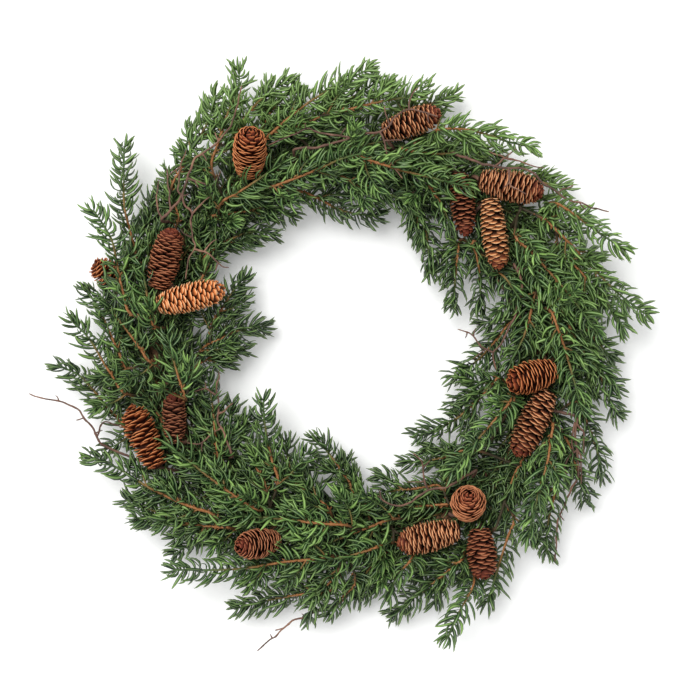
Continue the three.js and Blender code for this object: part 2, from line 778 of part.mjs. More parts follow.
// One needle from the face of a whorl, turned, laid forward or shortened until it is clear.
function clearNeedle({ root, out, tangent, side, angle, length, node, spray }, siblings) {
  const ways = [
    [0, 0, 1], [-10, 0, 1], [8, 0, 1], [0, 16, 1], [0, -16, 1], [-20, 0, 1], [-14, 16, 1],
    [-14, -16, 1], [0, 28, 0.9], [0, -28, 0.9], [-28, 0, 0.9], [0, 0, 0.7], [-24, 20, 0.7],
    [-24, -20, 0.7], [-32, 0, 0.6],
  ];
  for (const [lean, swing, share] of ways) {
    const tilt = rad(Math.max(angle + lean, 16));
    const outward = out.clone().multiplyScalar(Math.cos(rad(swing)))
      .addScaledVector(side, Math.sin(rad(swing)));
    const way = tangent.clone().multiplyScalar(Math.cos(tilt)).addScaledVector(outward, Math.sin(tilt));
    const apex = root.clone().addScaledVector(way, length * share);
    const needle = { a: root, b: apex, ra: NEEDLE_ROOT_RADIUS, rb: 0.1, node, spray };
    const crosses = siblings.some((sibling) => gap(outerPart(sibling), outerPart(needle)) < CLEARANCE);
    if (!crosses && room(needle, CLEARANCE) >= CLEARANCE) return needle;
  }
  return null;
}

// A needle without its root, where its neighbours in a whorl stand close round the stem.
const outerPart = ({ a, b, ra, rb }) => ({ a: a.clone().lerp(b, 0.3), b, ra: lerp(ra, rb, 0.3), rb });

function dressSpray({ stations, whorls }, node, spray, draw) {
  const frames = framesAlong(stations.map((station) => station.point));
  const needles = [];
  const siblings = [];
  stations.forEach((station, i) => {
    if (station.whorl === undefined || stations[i + 1]?.whorl !== station.whorl) return;
    const last = station.whorl === whorls;
    const { tangent, normal, side } = frames[i];
    const middle = station.point.clone().lerp(stations[i + 1].point, 0.5);
    for (let j = 0; j < 3; j++) {
      const angle = rad(station.turn + 120 * j + 60);
      const out = normal.clone().multiplyScalar(Math.cos(angle)).addScaledVector(side, Math.sin(angle));
      const needle = clearNeedle({
        root: middle.clone().addScaledVector(out, station.radius / 2),
        out,
        tangent,
        side: tangent.clone().cross(out),
        angle: (last ? TUFT_ANGLE : NEEDLE_ANGLE) + 8 * (draw() - 0.5),
        length: NEEDLE_LENGTH * (0.9 + 0.2 * draw()),
        node,
        spray,
      }, siblings);
      if (!needle) continue;
      placed.push(needle);
      siblings.push(needle);
      needles.push({ station: i, side: j, apex: needle.b });
    }
  });
  const tuft = { a: stations.at(-1).point, b: pastEnd(stations, TUFT_LENGTH), ra: 1, rb: 0.1, node, spray };
  if (room(tuft, CLEARANCE) < CLEARANCE) tuft.b = pastEnd(stations, TUFT_LENGTH / 3);
  placed.push(tuft);
  return rod(stations, 3, tuft.b, needles);
}

// Ways to bend a forking stem clear: its lift, its base's shift sideways and its base's bow.
const FORK_WAYS = [0, 4, -4, 8, -8, 12, 16, 20].flatMap((lift) => (
  [0, 7, -7, 14, -14].flatMap((shift) => [0, 8, -8].map((bow) => [lift, shift, bow]))));

// The stems of a bunch: the first from a seat on the ring, the others forking from the first.
function bunchStems(sprays, node) {
  const lifts = [0, 4, -4, 8, -8, 12, 16, 20];
  const points = ([layer, ...line], lift) => line.map((point, i) => {
    const share = i / (line.length - 1);
    const height = lerp(layerHeight(BASE_HEIGHTS, layer), layerHeight(TIP_HEIGHTS, layer), share);
    return place(point, height + lift);
  });
  const stems = [];
  const first = place(sprays[0][1], RING_CENTRE.z + RING_REACH);
  const behind = first.clone().sub(place(sprays[0][2], first.z)).normalize();
  const wanted = first.clone().addScaledVector(behind, 18);
  const spine = (seat, lift) => {
    const line = points(sprays[0], lift);
    const lead = leadIn(seat, line[0], STEM_RADIUS);
    const bare = lead[1].distanceTo(lead[0]) + line[0].distanceTo(lead[1]);
    const spray = sprayStations([...lead, ...line], bare);
    spray.stations.spray = spray;
    return spray.stations;
  };
  const way = clearWay(node, wanted, spine, lifts);
  stems.push(way.stations.spray);
  placed.push(...rodsOf(way.stations, node));
  const bareEnd = way.stations.findIndex((station) => station.whorl !== undefined);
  sprays.slice(1).forEach((spray, index) => {
    const starts = way.stations.slice(1, bareEnd + 3).map((station) => station.point);
    let best = null;
    for (const [lift, shift, bow] of FORK_WAYS) {
      for (const start of starts) {
        const line = points(spray, lift);
        const across = line[1].clone().sub(line[0]).cross(UP).normalize();
        line[0].addScaledVector(across, shift);
        line[1].addScaledVector(across, shift / 2);
        line[0].z += bow;
        line[1].z += bow / 2;
        const made = sprayStations([start, ...line], start.distanceTo(line[0]));
        const clear = roomAlong(made.stations, node);
        if (!best || clear > best.clear) best = { made, clear };
        if (clear >= CLEARANCE) break;
      }
      if (best.clear >= CLEARANCE) break;
    }
    if (best.clear < CLEARANCE) console.warn(node, 'spray', index + 2, 'is', best.clear.toFixed(2));
    stems.push(best.made);
    placed.push(...rodsOf(best.made.stations, node));
  });
  return stems;
}

// ---------------------------------------------------------------- the wreath

const wreath = new THREE.Group();
const two = (number) => String(number).padStart(2, '0');

wreath.add(meshFrom('vine_ring', vineRing(), vineBark));
wreath.add(meshFrom('binding_wire', bindingWire(), paintedWire));

const coneNames = CONES.map((_, i) => 'cone_' + two(i + 1));
CONES.forEach((cone, i) => reserveCone(cone, coneNames[i]));
CONES.forEach((cone, i) => {
  const solid = coneBody(cone).add(coneStalk(cone, coneNames[i]));
  wreath.add(meshFrom(coneNames[i], solid, cone.colour === 'light' ? coneLight : coneBrown));
});

for (const twig of TWIGS) wreath.add(meshFrom(twig.name, twigSolid(twig), twigBark));

// All stems first, the lowest bunches before the higher ones, and then every needle.
const layerOf = (bunch) => Math.max(...bunch.map(([layer]) => layer));
const bunches = BUNCHES.map((sprays, i) => ({ sprays, name: 'pine_bunch_' + two(i + 1) }));
const stems = new Map();
for (const { sprays, name } of [...bunches].sort((p, q) => layerOf(q.sprays) - layerOf(p.sprays))) {
  stems.set(name, bunchStems(sprays, name));
}
bunches.forEach(({ name }, i) => {
  const draw = draws(101 + i);
  const [spine, ...forks] = stems.get(name)
    .map((stem, index) => dressSpray(stem, name, name + ' ' + index, draw));
  const solid = forks.reduce((whole, fork) => whole.add(fork), spine);
  wreath.add(meshFrom(name, solid, pineGreen));
});

export default wreath;
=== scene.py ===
# %% [markdown]
# # A pinecone wreath
#
# The wreath is a ring of twisted vine with pine sprays, cones and bare twigs seated on it. The
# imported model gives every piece's place. This lesson grows the fine pieces there: about nineteen
# thousand needles, the overlapping scales of sixteen cones, rough stems and bark.

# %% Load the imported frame
import json
import math

import bmesh
import bpy
import numpy as np
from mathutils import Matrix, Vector
from mathutils.bvhtree import BVHTree

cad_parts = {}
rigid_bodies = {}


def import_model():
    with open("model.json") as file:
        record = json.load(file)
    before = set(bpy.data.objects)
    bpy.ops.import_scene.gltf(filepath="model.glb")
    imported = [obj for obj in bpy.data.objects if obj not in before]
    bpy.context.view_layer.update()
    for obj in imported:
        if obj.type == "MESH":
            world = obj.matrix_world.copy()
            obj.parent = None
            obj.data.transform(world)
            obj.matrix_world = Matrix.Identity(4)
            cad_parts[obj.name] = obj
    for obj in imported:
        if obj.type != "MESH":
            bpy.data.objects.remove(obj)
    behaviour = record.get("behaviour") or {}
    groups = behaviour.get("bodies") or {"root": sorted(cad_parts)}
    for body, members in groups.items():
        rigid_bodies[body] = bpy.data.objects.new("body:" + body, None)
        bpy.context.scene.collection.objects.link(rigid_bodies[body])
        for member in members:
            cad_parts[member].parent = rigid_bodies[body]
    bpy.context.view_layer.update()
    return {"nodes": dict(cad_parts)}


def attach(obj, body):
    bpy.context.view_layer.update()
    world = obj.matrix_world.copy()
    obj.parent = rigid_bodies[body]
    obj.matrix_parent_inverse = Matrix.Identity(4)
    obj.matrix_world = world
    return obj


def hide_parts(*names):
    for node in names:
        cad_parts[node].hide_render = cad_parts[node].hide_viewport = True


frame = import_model()
MM = 0.001
print("frame:", len(frame["nodes"]), "nodes")

# %% [markdown]
# ## Where everything grows
#
# The wreath was laid out on a board, x to the right and y down, in millimetres. A cone is its base
# and tip with their heights, its width and its colour. A twig is a main line, forks and short
# spurs. A bunch is a list of sprays, each with its layer (1 lies against the surface, 4 is on top)
# and the line of its stem. Points and lengths stay in millimetres until a mesh is made, because
# such numbers are easier to read.

# %% The layout
CONES = [dict(zip(("base", "tip", "width", "colour"), row)) for row in (
    ((248, 172, 44), (253, 134, 86), 34, "brown"),
    ((158, 287, 46), (173, 228, 50), 32, "brown"),
    ((160, 305, 57), (226, 289, 58), 30, "light"),
    ((118, 284, 27), (92, 262, 36), 30, "brown"),
    ((385, 132, 47), (441, 112, 49), 30, "brown"),
    ((482, 180, 47), (544, 193, 50), 33, "brown"),
    ((460, 174, 42), (467, 236, 38), 26, "brown"),
    ((490, 200, 50), (500, 270, 46), 27, "light"),
    ((553, 370, 46), (507, 384, 60), 33, "brown"),
    ((548, 393, 45), (517, 457, 45), 32, "brown"),
    ((468, 512, 34), (468, 492, 76), 35, "light"),
    ((457, 530, 51), (397, 545, 46), 32, "brown"),
    ((480, 531, 41), (485, 580, 44), 31, "brown"),
    ((275, 541, 41), (238, 545, 76), 30, "brown"),
    ((155, 465, 46), (130, 405, 46), 34, "brown"),
    ((174, 442, 42), (173, 393, 42), 25, "brown"),
)]

TWIGS = [
    {
        "name": "twig_upper_left",
        "heights": (64, 70),
        "main": [(162, 220), (172, 210), (184, 195), (187, 183), (191, 175), (194, 163), (200, 157),
                 (212, 151), (222, 139), (231, 130), (236, 115), (240, 100), (243, 88)],
        "forks": [
            [(184, 195), (185, 205), (194, 214), (192, 222), (195, 240), (196, 250), (190, 258),
             (188, 268), (187, 280)],
            [(194, 214), (200, 207), (211, 198)],
            [(196, 250), (207, 253), (219, 264), (223, 268), (230, 268)],
            [(190, 180), (205, 185), (212, 187), (218, 182), (222, 172)],
            [(182, 197), (180, 190), (183, 163), (188, 152)],
            [(171, 210), (170, 190), (168, 170)],
            [(163, 219), (158, 205), (160, 180)],
        ],
        "spurs": [[(206, 252), (211, 245), (218, 240)], [(194, 238), (187, 236), (182, 230)],
                  [(180, 168), (175, 173), (171, 178)], [(218, 264), (217, 272)],
                  [(219, 142), (216, 134)], [(205, 156), (208, 163)], [(196, 182), (200, 190)],
                  [(184, 197), (190, 195)]],
    },
    {
        "name": "twig_top",
        "heights": (62, 70),
        "main": [(296, 150), (325, 147), (350, 140), (372, 134), (380, 134), (388, 128), (399, 115),
                 (407, 112), (415, 112), (437, 119)],
        "forks": [
            [(350, 139), (332, 136), (318, 134), (306, 131), (297, 135), (285, 140), (268, 147)],
            [(380, 134), (384, 142), (387, 160), (392, 166), (402, 180)],
            [(408, 112), (409, 103), (414, 93), (418, 90)],
        ],
        "spurs": [[(384, 143), (391, 141), (402, 142)], [(389, 127), (386, 118), (384, 108)],
                  [(427, 116), (428, 125)], [(306, 131), (306, 125)], [(340, 137), (346, 130)]],
    },
    {
        "name": "twig_upper_right",
        "heights": (66, 66),
        "main": [(462, 158), (480, 165), (495, 168), (508, 170), (525, 171), (535, 177), (541, 184),
                 (556, 193), (563, 199), (590, 208), (607, 213)],
        "forks": [[(508, 170), (508, 185), (520, 193), (525, 196)],
                  [(494, 168), (505, 160), (530, 167), (542, 169)], [(512, 163), (500, 158), (488, 153)]],
        "spurs": [[(505, 158), (515, 150)], [(556, 193), (572, 186)], [(508, 184), (502, 189)],
                  [(578, 204), (584, 211)]],
    },
    {
        "name": "twig_right",
        "heights": (50, 40),
        "main": [(515, 265), (520, 275), (522, 285), (518, 308), (512, 323), (507, 333), (503, 343),
                 (494, 353), (494, 360), (497, 370)],
        "forks": [[(517, 268), (530, 270), (535, 277), (537, 290), (538, 305), (541, 318)],
                  [(494, 353), (480, 345), (474, 336), (467, 332), (458, 329)]],
        "spurs": [[(518, 308), (522, 320)], [(487, 349), (480, 354), (473, 360)],
                  [(474, 336), (476, 328)], [(467, 332), (466, 338)]],
    },
    {
        "name": "twig_bottom",
        "heights": (30, 24),
        "main": [(345, 587), (347, 593), (345, 600), (338, 607), (318, 613), (308, 619), (290, 625),
                 (283, 632), (266, 646), (256, 655)],
        "forks": [[(345, 588), (330, 586), (323, 592), (318, 600)]],
        "spurs": [[(283, 632), (274, 634)], [(271, 642), (269, 638)], [(306, 620), (301, 617)]],
    },
    {
        "name": "twig_inner_lower",
        "heights": (56, 52),
        "main": [(475, 470), (458, 480), (443, 488), (428, 490), (406, 504), (397, 506), (383, 501),
                 (378, 494), (370, 491)],
        "forks": [[(428, 490), (424, 480), (423, 468), (421, 461), (413, 453)]],
        "spurs": [[(424, 467), (430, 460)], [(424, 481), (407, 482)], [(381, 498), (380, 489)]],
    },
    {
        "name": "twig_lower_right",
        "heights": (44, 32),
        "main": [(577, 418), (576, 440), (578, 450), (579, 478), (573, 488), (567, 505), (561, 515),
                 (559, 530), (557, 563)],
        "forks": [[(576, 440), (581, 455), (583, 470), (582, 485)],
                  [(577, 450), (568, 462), (566, 470), (568, 480)], [(577, 424), (584, 431), (585, 455)],
                  [(576, 420), (573, 436), (575, 462)]],
        "spurs": [[(566, 472), (561, 478)], [(561, 515), (566, 522)]],
    },
    {
        "name": "twig_left",
        "heights": (34, 26),
        "main": [(135, 460), (118, 453), (100, 446), (93, 434), (88, 425), (80, 419), (74, 409),
                 (66, 405), (56, 402), (40, 399), (25, 394)],
        "forks": [[(95, 438), (100, 424), (118, 426)]],
        "spurs": [[(56, 402), (52, 396)], [(80, 419), (73, 421)], [(93, 433), (100, 431)]],
    },
    {
        "name": "twig_inner_left",
        "heights": (50, 46),
        "main": [(232, 455), (228, 445), (224, 433), (219, 428), (218, 400), (215, 390), (219, 380),
                 (218, 371)],
        "forks": [[(217, 396), (206, 389), (193, 392)], [(220, 429), (213, 432), (200, 444), (187, 443)],
                  [(220, 414), (226, 410), (233, 403)]],
        "spurs": [[(206, 389), (205, 382)], [(202, 443), (202, 452)], [(218, 405), (213, 409)]],
    },
]

BUNCHES = [
    [(4, (355, 157), (375, 164), (400, 171), (432, 179), (474, 189)),
     (3, (340, 176), (375, 188), (400, 198), (418, 208))],
    [(4, (420, 134), (450, 130), (478, 133), (505, 142), (537, 149)),
     (3, (400, 148), (425, 153), (455, 153), (482, 151)),
     (2, (405, 108), (430, 101), (447, 96), (459, 89))],
    [(3, (430, 188), (442, 205), (448, 219), (452, 234)),
     (2, (408, 198), (421, 215), (428, 240), (431, 277))],
    [(3.5, (535, 193), (560, 207), (595, 232), (628, 254)),
     (2, (520, 172), (545, 183), (573, 188)),
     (3, (545, 220), (582, 256), (615, 290), (652, 318)),
     (4, (515, 238), (545, 268), (572, 300), (600, 338)),
     (2.5, (562, 252), (585, 277), (606, 301), (627, 332))],
    [(3, (488, 255), (500, 272), (512, 288), (524, 306)),
     (2, (462, 238), (457, 262), (456, 285), (452, 311)),
     (1.5, (474, 240), (480, 268), (482, 290), (480, 314))],
    [(3, (540, 278), (563, 312), (583, 350), (623, 392)),
     (3, (534, 298), (528, 325), (518, 350), (507, 368)),
     (2, (512, 322), (495, 343), (472, 366), (449, 380))],
    [(4, (550, 312), (565, 352), (574, 385), (583, 416)),
     (2, (585, 345), (602, 376), (611, 398), (622, 419)),
     (2, (580, 320), (600, 343), (620, 362))],
    [(4, (516, 393), (497, 415), (478, 437), (460, 460), (447, 475)),
     (2, (500, 378), (482, 397), (452, 423), (412, 439))],
    [(4, (553, 420), (547, 455), (537, 495), (526, 541)),
     (1.5, (578, 402), (592, 430), (601, 455), (607, 482)),
     (2, (568, 440), (577, 465), (585, 488), (590, 508))],
    [(2, (523, 462), (513, 483), (507, 505), (503, 525)),
     (2, (560, 468), (555, 500), (549, 530), (549, 562)),
     (2, (470, 450), (445, 458), (420, 463), (402, 464))],
    [(2.5, (484, 556), (470, 590), (455, 618), (446, 642)),
     (2, (466, 556), (437, 582), (412, 602), (391, 621)),
     (2, (515, 520), (505, 550), (497, 578), (487, 610))],
    [(3, (450, 505), (425, 507), (400, 510), (378, 518)),
     (2, (440, 487), (410, 490), (385, 494), (360, 505))],
    [(4, (398, 541), (375, 547), (350, 555), (312, 562)),
     (2.5, (418, 550), (404, 567), (393, 585), (386, 603)),
     (2, (392, 548), (372, 566), (362, 585), (356, 606))],
    [(3, (388, 520), (360, 531), (335, 541), (300, 553)),
     (4, (345, 524), (310, 521), (270, 517), (222, 515))],
    [(2, (367, 507), (350, 488), (344, 472), (346, 456)),
     (2, (352, 487), (335, 463), (322, 446), (312, 434))],
    [(3.5, (325, 557), (285, 562), (235, 569), (167, 570)),
     (2.5, (337, 575), (322, 592), (312, 608), (306, 626)),
     (2, (330, 592), (290, 598), (255, 606), (231, 612)),
     (2, (355, 585), (340, 602), (325, 620))],
    [(3, (328, 508), (300, 487), (278, 473), (252, 458)),
     (1.5, (303, 493), (292, 473), (286, 455), (284, 436))],
    [(4, (257, 509), (225, 488), (190, 461), (157, 437)),
     (3, (278, 480), (269, 450), (264, 420), (263, 394)),
     (2.5, (265, 485), (254, 463), (246, 442), (240, 420))],
    [(3, (228, 528), (195, 526), (165, 523), (130, 517)),
     (3, (212, 514), (175, 500), (145, 486), (120, 470), (84, 455)),
     (2, (200, 528), (165, 517), (140, 507), (119, 499)),
     (1, (262, 548), (232, 543), (208, 541))],
    [(3, (217, 453), (214, 428), (211, 400), (204, 369)),
     (2, (222, 450), (228, 425), (232, 400))],
    [(2, (163, 430), (150, 403), (135, 387), (115, 375)),
     (2.5, (125, 430), (98, 400), (77, 376), (50, 364)),
     (3, (122, 392), (101, 360), (88, 338), (66, 317))],
    [(4, (186, 396), (178, 370), (172, 350), (166, 329)),
     (1.5, (192, 369), (210, 357), (228, 349), (248, 349))],
    [(3, (150, 362), (128, 332), (108, 307), (92, 286)),
     (2.5, (126, 368), (110, 335), (96, 306), (80, 284))],
    [(1.5, (203, 347), (225, 336), (248, 327), (268, 327)),
     (1.5, (212, 322), (226, 300), (236, 284), (246, 273))],
    [(4, (154, 325), (149, 303), (146, 282), (141, 260)),
     (4, (131, 313), (122, 285), (116, 255), (112, 238), (102, 222), (91, 206))],
    [(3, (195, 290), (205, 270), (213, 252), (224, 238)),
     (2, (203, 257), (225, 241), (250, 231), (277, 233))],
    [(2.5, (138, 262), (128, 228), (123, 200), (122, 170), (123, 139)),
     (1.5, (150, 262), (147, 235), (148, 210), (149, 190))],
    [(2, (178, 215), (170, 197), (168, 180), (166, 164)),
     (3, (172, 185), (190, 152), (207, 122), (217, 88))],
    [(4, (222, 203), (240, 192), (262, 178), (288, 160)),
     (2, (212, 215), (245, 210), (265, 206), (297, 216))],
    [(3, (212, 165), (228, 112), (238, 85), (238, 62)),
     (2.5, (232, 140), (247, 113), (262, 97), (278, 84), (290, 74))],
    [(3, (262, 142), (285, 121), (310, 101), (335, 86), (373, 65)),
     (2, (258, 140), (268, 113), (282, 97), (300, 80))],
    [(3.5, (275, 187), (300, 178), (328, 166), (350, 158), (378, 153)),
     (1.5, (300, 190), (320, 198), (342, 209), (385, 216))],
    [(2.5, (295, 128), (320, 116), (345, 100), (365, 88), (383, 74)),
     (3, (335, 113), (370, 104), (395, 98), (415, 94), (430, 80))],
]

BOARD_ORIGIN = np.array([341.0, 353.5])
BASE_HEIGHTS = [32, 39, 50, 62]
TIP_HEIGHTS = [18, 28, 42, 59]
UP = np.array([0.0, 0.0, 1.0])
print("layout:", len(CONES), "cones,", len(TWIGS), "twigs,", sum(map(len, BUNCHES)), "sprays")


def place(point, height):
    """A point of the board in the frame's directions, still in millimetres."""
    return np.array([point[0] - BOARD_ORIGIN[0], BOARD_ORIGIN[1] - point[1], height])


def unit(vectors):
    return vectors / np.maximum(np.linalg.norm(vectors, axis=-1, keepdims=True), 1e-9)


# %% [markdown]
# ## Smooth lines
#
# A stem is a smooth line through a few points. Blender has curve objects for this, but needles and
# scales need the line's frames as numbers, so a short centripetal Catmull-Rom spline is clearer.
# It never loops between close points, which an ordinary spline through points can do.

# %% A smooth line and the frames along it
SPAN_POINTS = 16
FIRST_NORMAL = np.array([0.31, 0.23, 1.0])


def lengths_along(line):
    """How far each point of a line is from the first, measured along the line."""
    return np.append(0, np.cumsum(np.linalg.norm(np.diff(line, axis=0), axis=1)))


def smooth_line(points, step):
    """Points every step along a centripetal spline through the given ones."""
    points = np.asarray(points, float)
    ends = [2 * points[0] - points[1], *points, 2 * points[-1] - points[-2]]
    dense = []
    for p0, p1, p2, p3 in zip(ends, ends[1:], ends[2:], ends[3:]):
        t1, t2, t3 = np.cumsum([max(np.linalg.norm(b - a), 1e-3) ** 0.5
                                for a, b in ((p0, p1), (p1, p2), (p2, p3))])
        t = np.linspace(t1, t2, SPAN_POINTS, endpoint=False)[:, None]
        a1 = (t1 - t) / t1 * p0 + t / t1 * p1
        a2 = (t2 - t) / (t2 - t1) * p1 + (t - t1) / (t2 - t1) * p2
        a3 = (t3 - t) / (t3 - t2) * p2 + (t - t2) / (t3 - t2) * p3
        b1 = (t2 - t) / t2 * a1 + t / t2 * a2
        b2 = (t3 - t) / (t3 - t1) * a2 + (t - t1) / (t3 - t1) * a3
        dense.append((t2 - t) / (t2 - t1) * b1 + (t - t1) / (t2 - t1) * b2)
    dense = np.vstack([*dense, points[-1:]])
    along = lengths_along(dense)
    wanted = np.linspace(0, along[-1], max(int(round(along[-1] / step)), 2) + 1)
    return np.stack([np.interp(wanted, along, dense[:, k]) for k in range(3)], axis=1)


def frames_along(line):
    """Tangent, normal and side at each point, carried along without spinning."""
    tangents = unit(np.gradient(line, axis=0))
    normals = []
    normal = FIRST_NORMAL
    for tangent in tangents:
        normal = normal - tangent * normal.dot(tangent)
        normal = normal / np.linalg.norm(normal)
        normals.append(normal)
    normals = np.array(normals)
    return tangents, normals, np.cross(tangents, normals)


# %% [markdown]
# ## From numbers to meshes
#
# Thousands of needles as separate objects would be slow, and particles or instances don't survive
# an export. So the vertices of a whole bunch are worked out as arrays and become one closed mesh in
# a single step. Each needle stays an island of its own, which lets the material vary it.

# %% One mesh from many closed shapes
def add_object(name, data):
    made = bpy.data.objects.new(name, data)
    bpy.context.scene.collection.objects.link(made)
    return made


def make_piece(name, shapes, finishes, stands_for):
    """shapes: (points in mm, [face arrays], uv for each point, finish number)."""
    points, corners, sizes, uvs, kinds, count = [], [], [], [], [], 0
    for shape_points, shape_faces, shape_uv, kind in shapes:
        for faces in shape_faces:
            corners.append((faces + count).ravel())
            sizes.append(np.full(len(faces), faces.shape[1]))
            kinds.append(np.full(len(faces), kind))
        points.append(shape_points)
        uvs.append(shape_uv)
        count += len(shape_points)
    corners, sizes = np.concatenate(corners), np.concatenate(sizes)
    mesh = bpy.data.meshes.new(name)
    mesh.vertices.add(count)
    mesh.vertices.foreach_set("co", (np.vstack(points) * MM).astype(np.float32).ravel())
    mesh.loops.add(len(corners))
    mesh.loops.foreach_set("vertex_index", corners.astype(np.int32))
    mesh.polygons.add(len(sizes))
    mesh.polygons.foreach_set("loop_start", np.append(0, np.cumsum(sizes)[:-1]).astype(np.int32))
    mesh.polygons.foreach_set("material_index", np.concatenate(kinds).astype(np.int32))
    mesh.update(calc_edges=True)
    layer = mesh.uv_layers.new(name="along")
    layer.data.foreach_set("uv", np.vstack(uvs)[corners].astype(np.float32).ravel())
    for finish in finishes:
        mesh.materials.append(finish)
    mesh.shade_smooth()
    piece = add_object(name, mesh)
    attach(piece, "root")
    if stands_for:
        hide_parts(*stands_for)


# %% [markdown]
# Stems, twigs and vines are tubes: a ring of corners round every point of a line, and faces from
# each ring to the next. The faces come back as rows, with a last row that joins the end of the line
# to its start. A ring of vine keeps that row, and an ordinary tube has caps instead.

# %% Tubes round a line
def skin(line, normals, across, radii, sides, along):
    """Points, rows of faces and uv of a tube; along is the v of each ring."""
    turn = np.linspace(0, 2 * math.pi, sides, endpoint=False)
    radii = np.broadcast_to(np.asarray(radii, float), (len(line),))[:, None]
    rings = (line[:, None]
             + (radii * np.cos(turn))[..., None] * normals[:, None]
             + (radii * np.sin(turn))[..., None] * across[:, None])
    k = np.arange(sides)
    after = (k + 1) % sides
    start = (np.arange(len(line)) * sides)[:, None]
    following = np.roll(start, -1, axis=0)
    faces = np.stack([start + k, start + after, following + after, following + k], -1)
    u = np.broadcast_to(np.abs(2 * k / sides - 1), (len(line), sides))
    v = np.broadcast_to(along[:, None], (len(line), sides))
    return rings.reshape(-1, 3), faces, np.stack([u, v], -1).reshape(-1, 2)


def tube(line, radii, sides, kind=0):
    """A closed tube round a line, with its ends capped. v runs from 0 at the start to 1."""
    _, normals, across = frames_along(line)
    points, faces, uv = skin(line, normals, across, radii, sides, np.linspace(0, 1, len(line)))
    k = np.arange(sides)
    caps = np.stack([k[::-1], (len(line) - 1) * sides + k])
    return points, [faces[:-1].reshape(-1, 4), caps], uv, kind


# %% [markdown]
# ## Heights from the frame
#
# The layout gives a stem's line seen from above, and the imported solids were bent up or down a
# little to clear each other. Each line therefore takes its height from its own solid: the middle
# height of the solid's corners that lie close to the line.

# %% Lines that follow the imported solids
NEAR = 4.5
HEIGHT_WINDOW = 24
SETTLE_STEP = 6
EVENED = 5
corners_of = {}
for node_name, node in frame["nodes"].items():
    co = np.empty(len(node.data.vertices) * 3, np.float32)
    node.data.vertices.foreach_get("co", co)
    corners_of[node_name] = co.reshape(-1, 3).astype(float) / MM


def settle(points, first_height, last_height, node_name):
    """The 3-D line of a stem whose points are given on the board."""
    line = smooth_line([place(point, 0) for point in points], SETTLE_STEP)
    nominal = np.linspace(first_height, last_height, len(line))
    corners = corners_of[node_name]
    known, heights = [], []
    for k, (x, y, _) in enumerate(line):
        near = np.hypot(corners[:, 0] - x, corners[:, 1] - y) < NEAR
        near &= np.abs(corners[:, 2] - nominal[k]) < HEIGHT_WINDOW
        if near.sum() >= 3:
            known.append(k)
            heights.append(np.median(corners[near, 2]))
    if known:
        found = np.interp(np.arange(len(line)), known, heights)
        padded = np.pad(found, EVENED // 2, mode="edge")
        nominal = sum(padded[k:k + len(found)] for k in range(EVENED)) / EVENED
    line[:, 2] = nominal
    return line


# %% [markdown]
# A stem also has to start where its solid sits on the ring. The ring's faces go into a search tree,
# and the corner of the solid that is nearest to the bark gives the seat. The stem starts a little
# inside the bark and leaves it at a right angle.

# %% Seats on the ring
BURIED = 2
HEEL = 6
ring_mesh = frame["nodes"]["vine_ring"].data
ring_tree = BVHTree.FromPolygons([v.co for v in ring_mesh.vertices],
                                 [p.vertices for p in ring_mesh.polygons])


def lead_in(node_name):
    """The first two points of a stem: in the bark under its solid, and just outside it."""
    best = min((ring_tree.find_nearest(Vector(corner * MM)) for corner in corners_of[node_name]),
               key=lambda hit: hit[3])
    seat, out = np.array(best[0]) / MM, np.array(best[1])
    return [seat - out * BURIED, seat + out * HEEL]


leads = {name: lead_in(name) for name in corners_of if name not in ("vine_ring", "binding_wire")}
print("seats found:", len(leads))

# %% [markdown]
# ## Cone bodies
#
# A cone's outline is wide near its base and closes to its tip. The same outline places the scales,
# sizes the dark core and keeps needles out of the cone, so the three always agree.

# %% The outline of a cone
BODY_ENDS = (-0.04, 1.04)


def cone_outline(share):
    """The half width at a share of a cone's length, as a part of its greatest half width."""
    return np.sin(math.pi * (0.15 + 0.7 * share)) ** 0.55


def cone_dome(share, start):
    """Closes a cone into a rounded tip, from the share of its length called start."""
    return np.sqrt(np.clip(1 - (np.maximum(share - start, 0) / (1 - start)) ** 2, 0, 1))


def cone_axis(cone):
    base, tip = (place(cone[end][:2], cone[end][2]) for end in ("base", "tip"))
    return base, tip, np.linalg.norm(tip - base)


def inside_cones(points, margin):
    """True for each point that lies in a cone's body."""
    hit = np.zeros(points.shape[:-1], bool)
    for cone in CONES:
        base, tip, length = cone_axis(cone)
        along = (points - base) @ (tip - base) / length ** 2
        away = np.linalg.norm(points - base - along[..., None] * (tip - base), axis=-1)
        reach = cone["width"] / 2 * cone_outline(np.clip(along, 0, 1)) + margin
        hit |= (away < reach) & (along > BODY_ENDS[0]) & (along < BODY_ENDS[1])
    return hit


# %% [markdown]
# Some cones lie clear on top of the greenery and others are half buried in it. From above, a needle
# may cross a buried cone but not a clear one, so each cone has two shares of needles that may cross
# it: one for its foot and one for its tip half.

# %% Which needles may cross a cone
CROSSED = {1: (0.95, 0.02), 2: (0.3, 0.02), 3: (0.5, 0.0), 4: (0.6, 0.35), 6: (0.4, 0.0),
           7: (1.0, 0.4), 9: (0.4, 0.02), 10: (0.3, 0.0), 12: (0.15, 0.03), 13: (0.3, 0.1),
           14: (0.85, 0.04), 15: (0.5, 0.02), 16: (0.6, 0.02)}
TIP_HALF = 0.45
SLIMMEST = 0.55


def from_above(points, cone, held=False):
    """Shares along a cone's axis and distances from it, in plan; held stays between its ends."""
    base, tip, _ = cone_axis(cone)
    flat = (tip - base)[:2]
    along = (points[..., :2] - base[:2]) @ flat / max(flat @ flat, 1)
    on_axis = np.clip(along, 0, 1) if held else along
    away = np.linalg.norm(points[..., :2] - base[:2] - on_axis[..., None] * flat, axis=-1)
    return along, on_axis, away


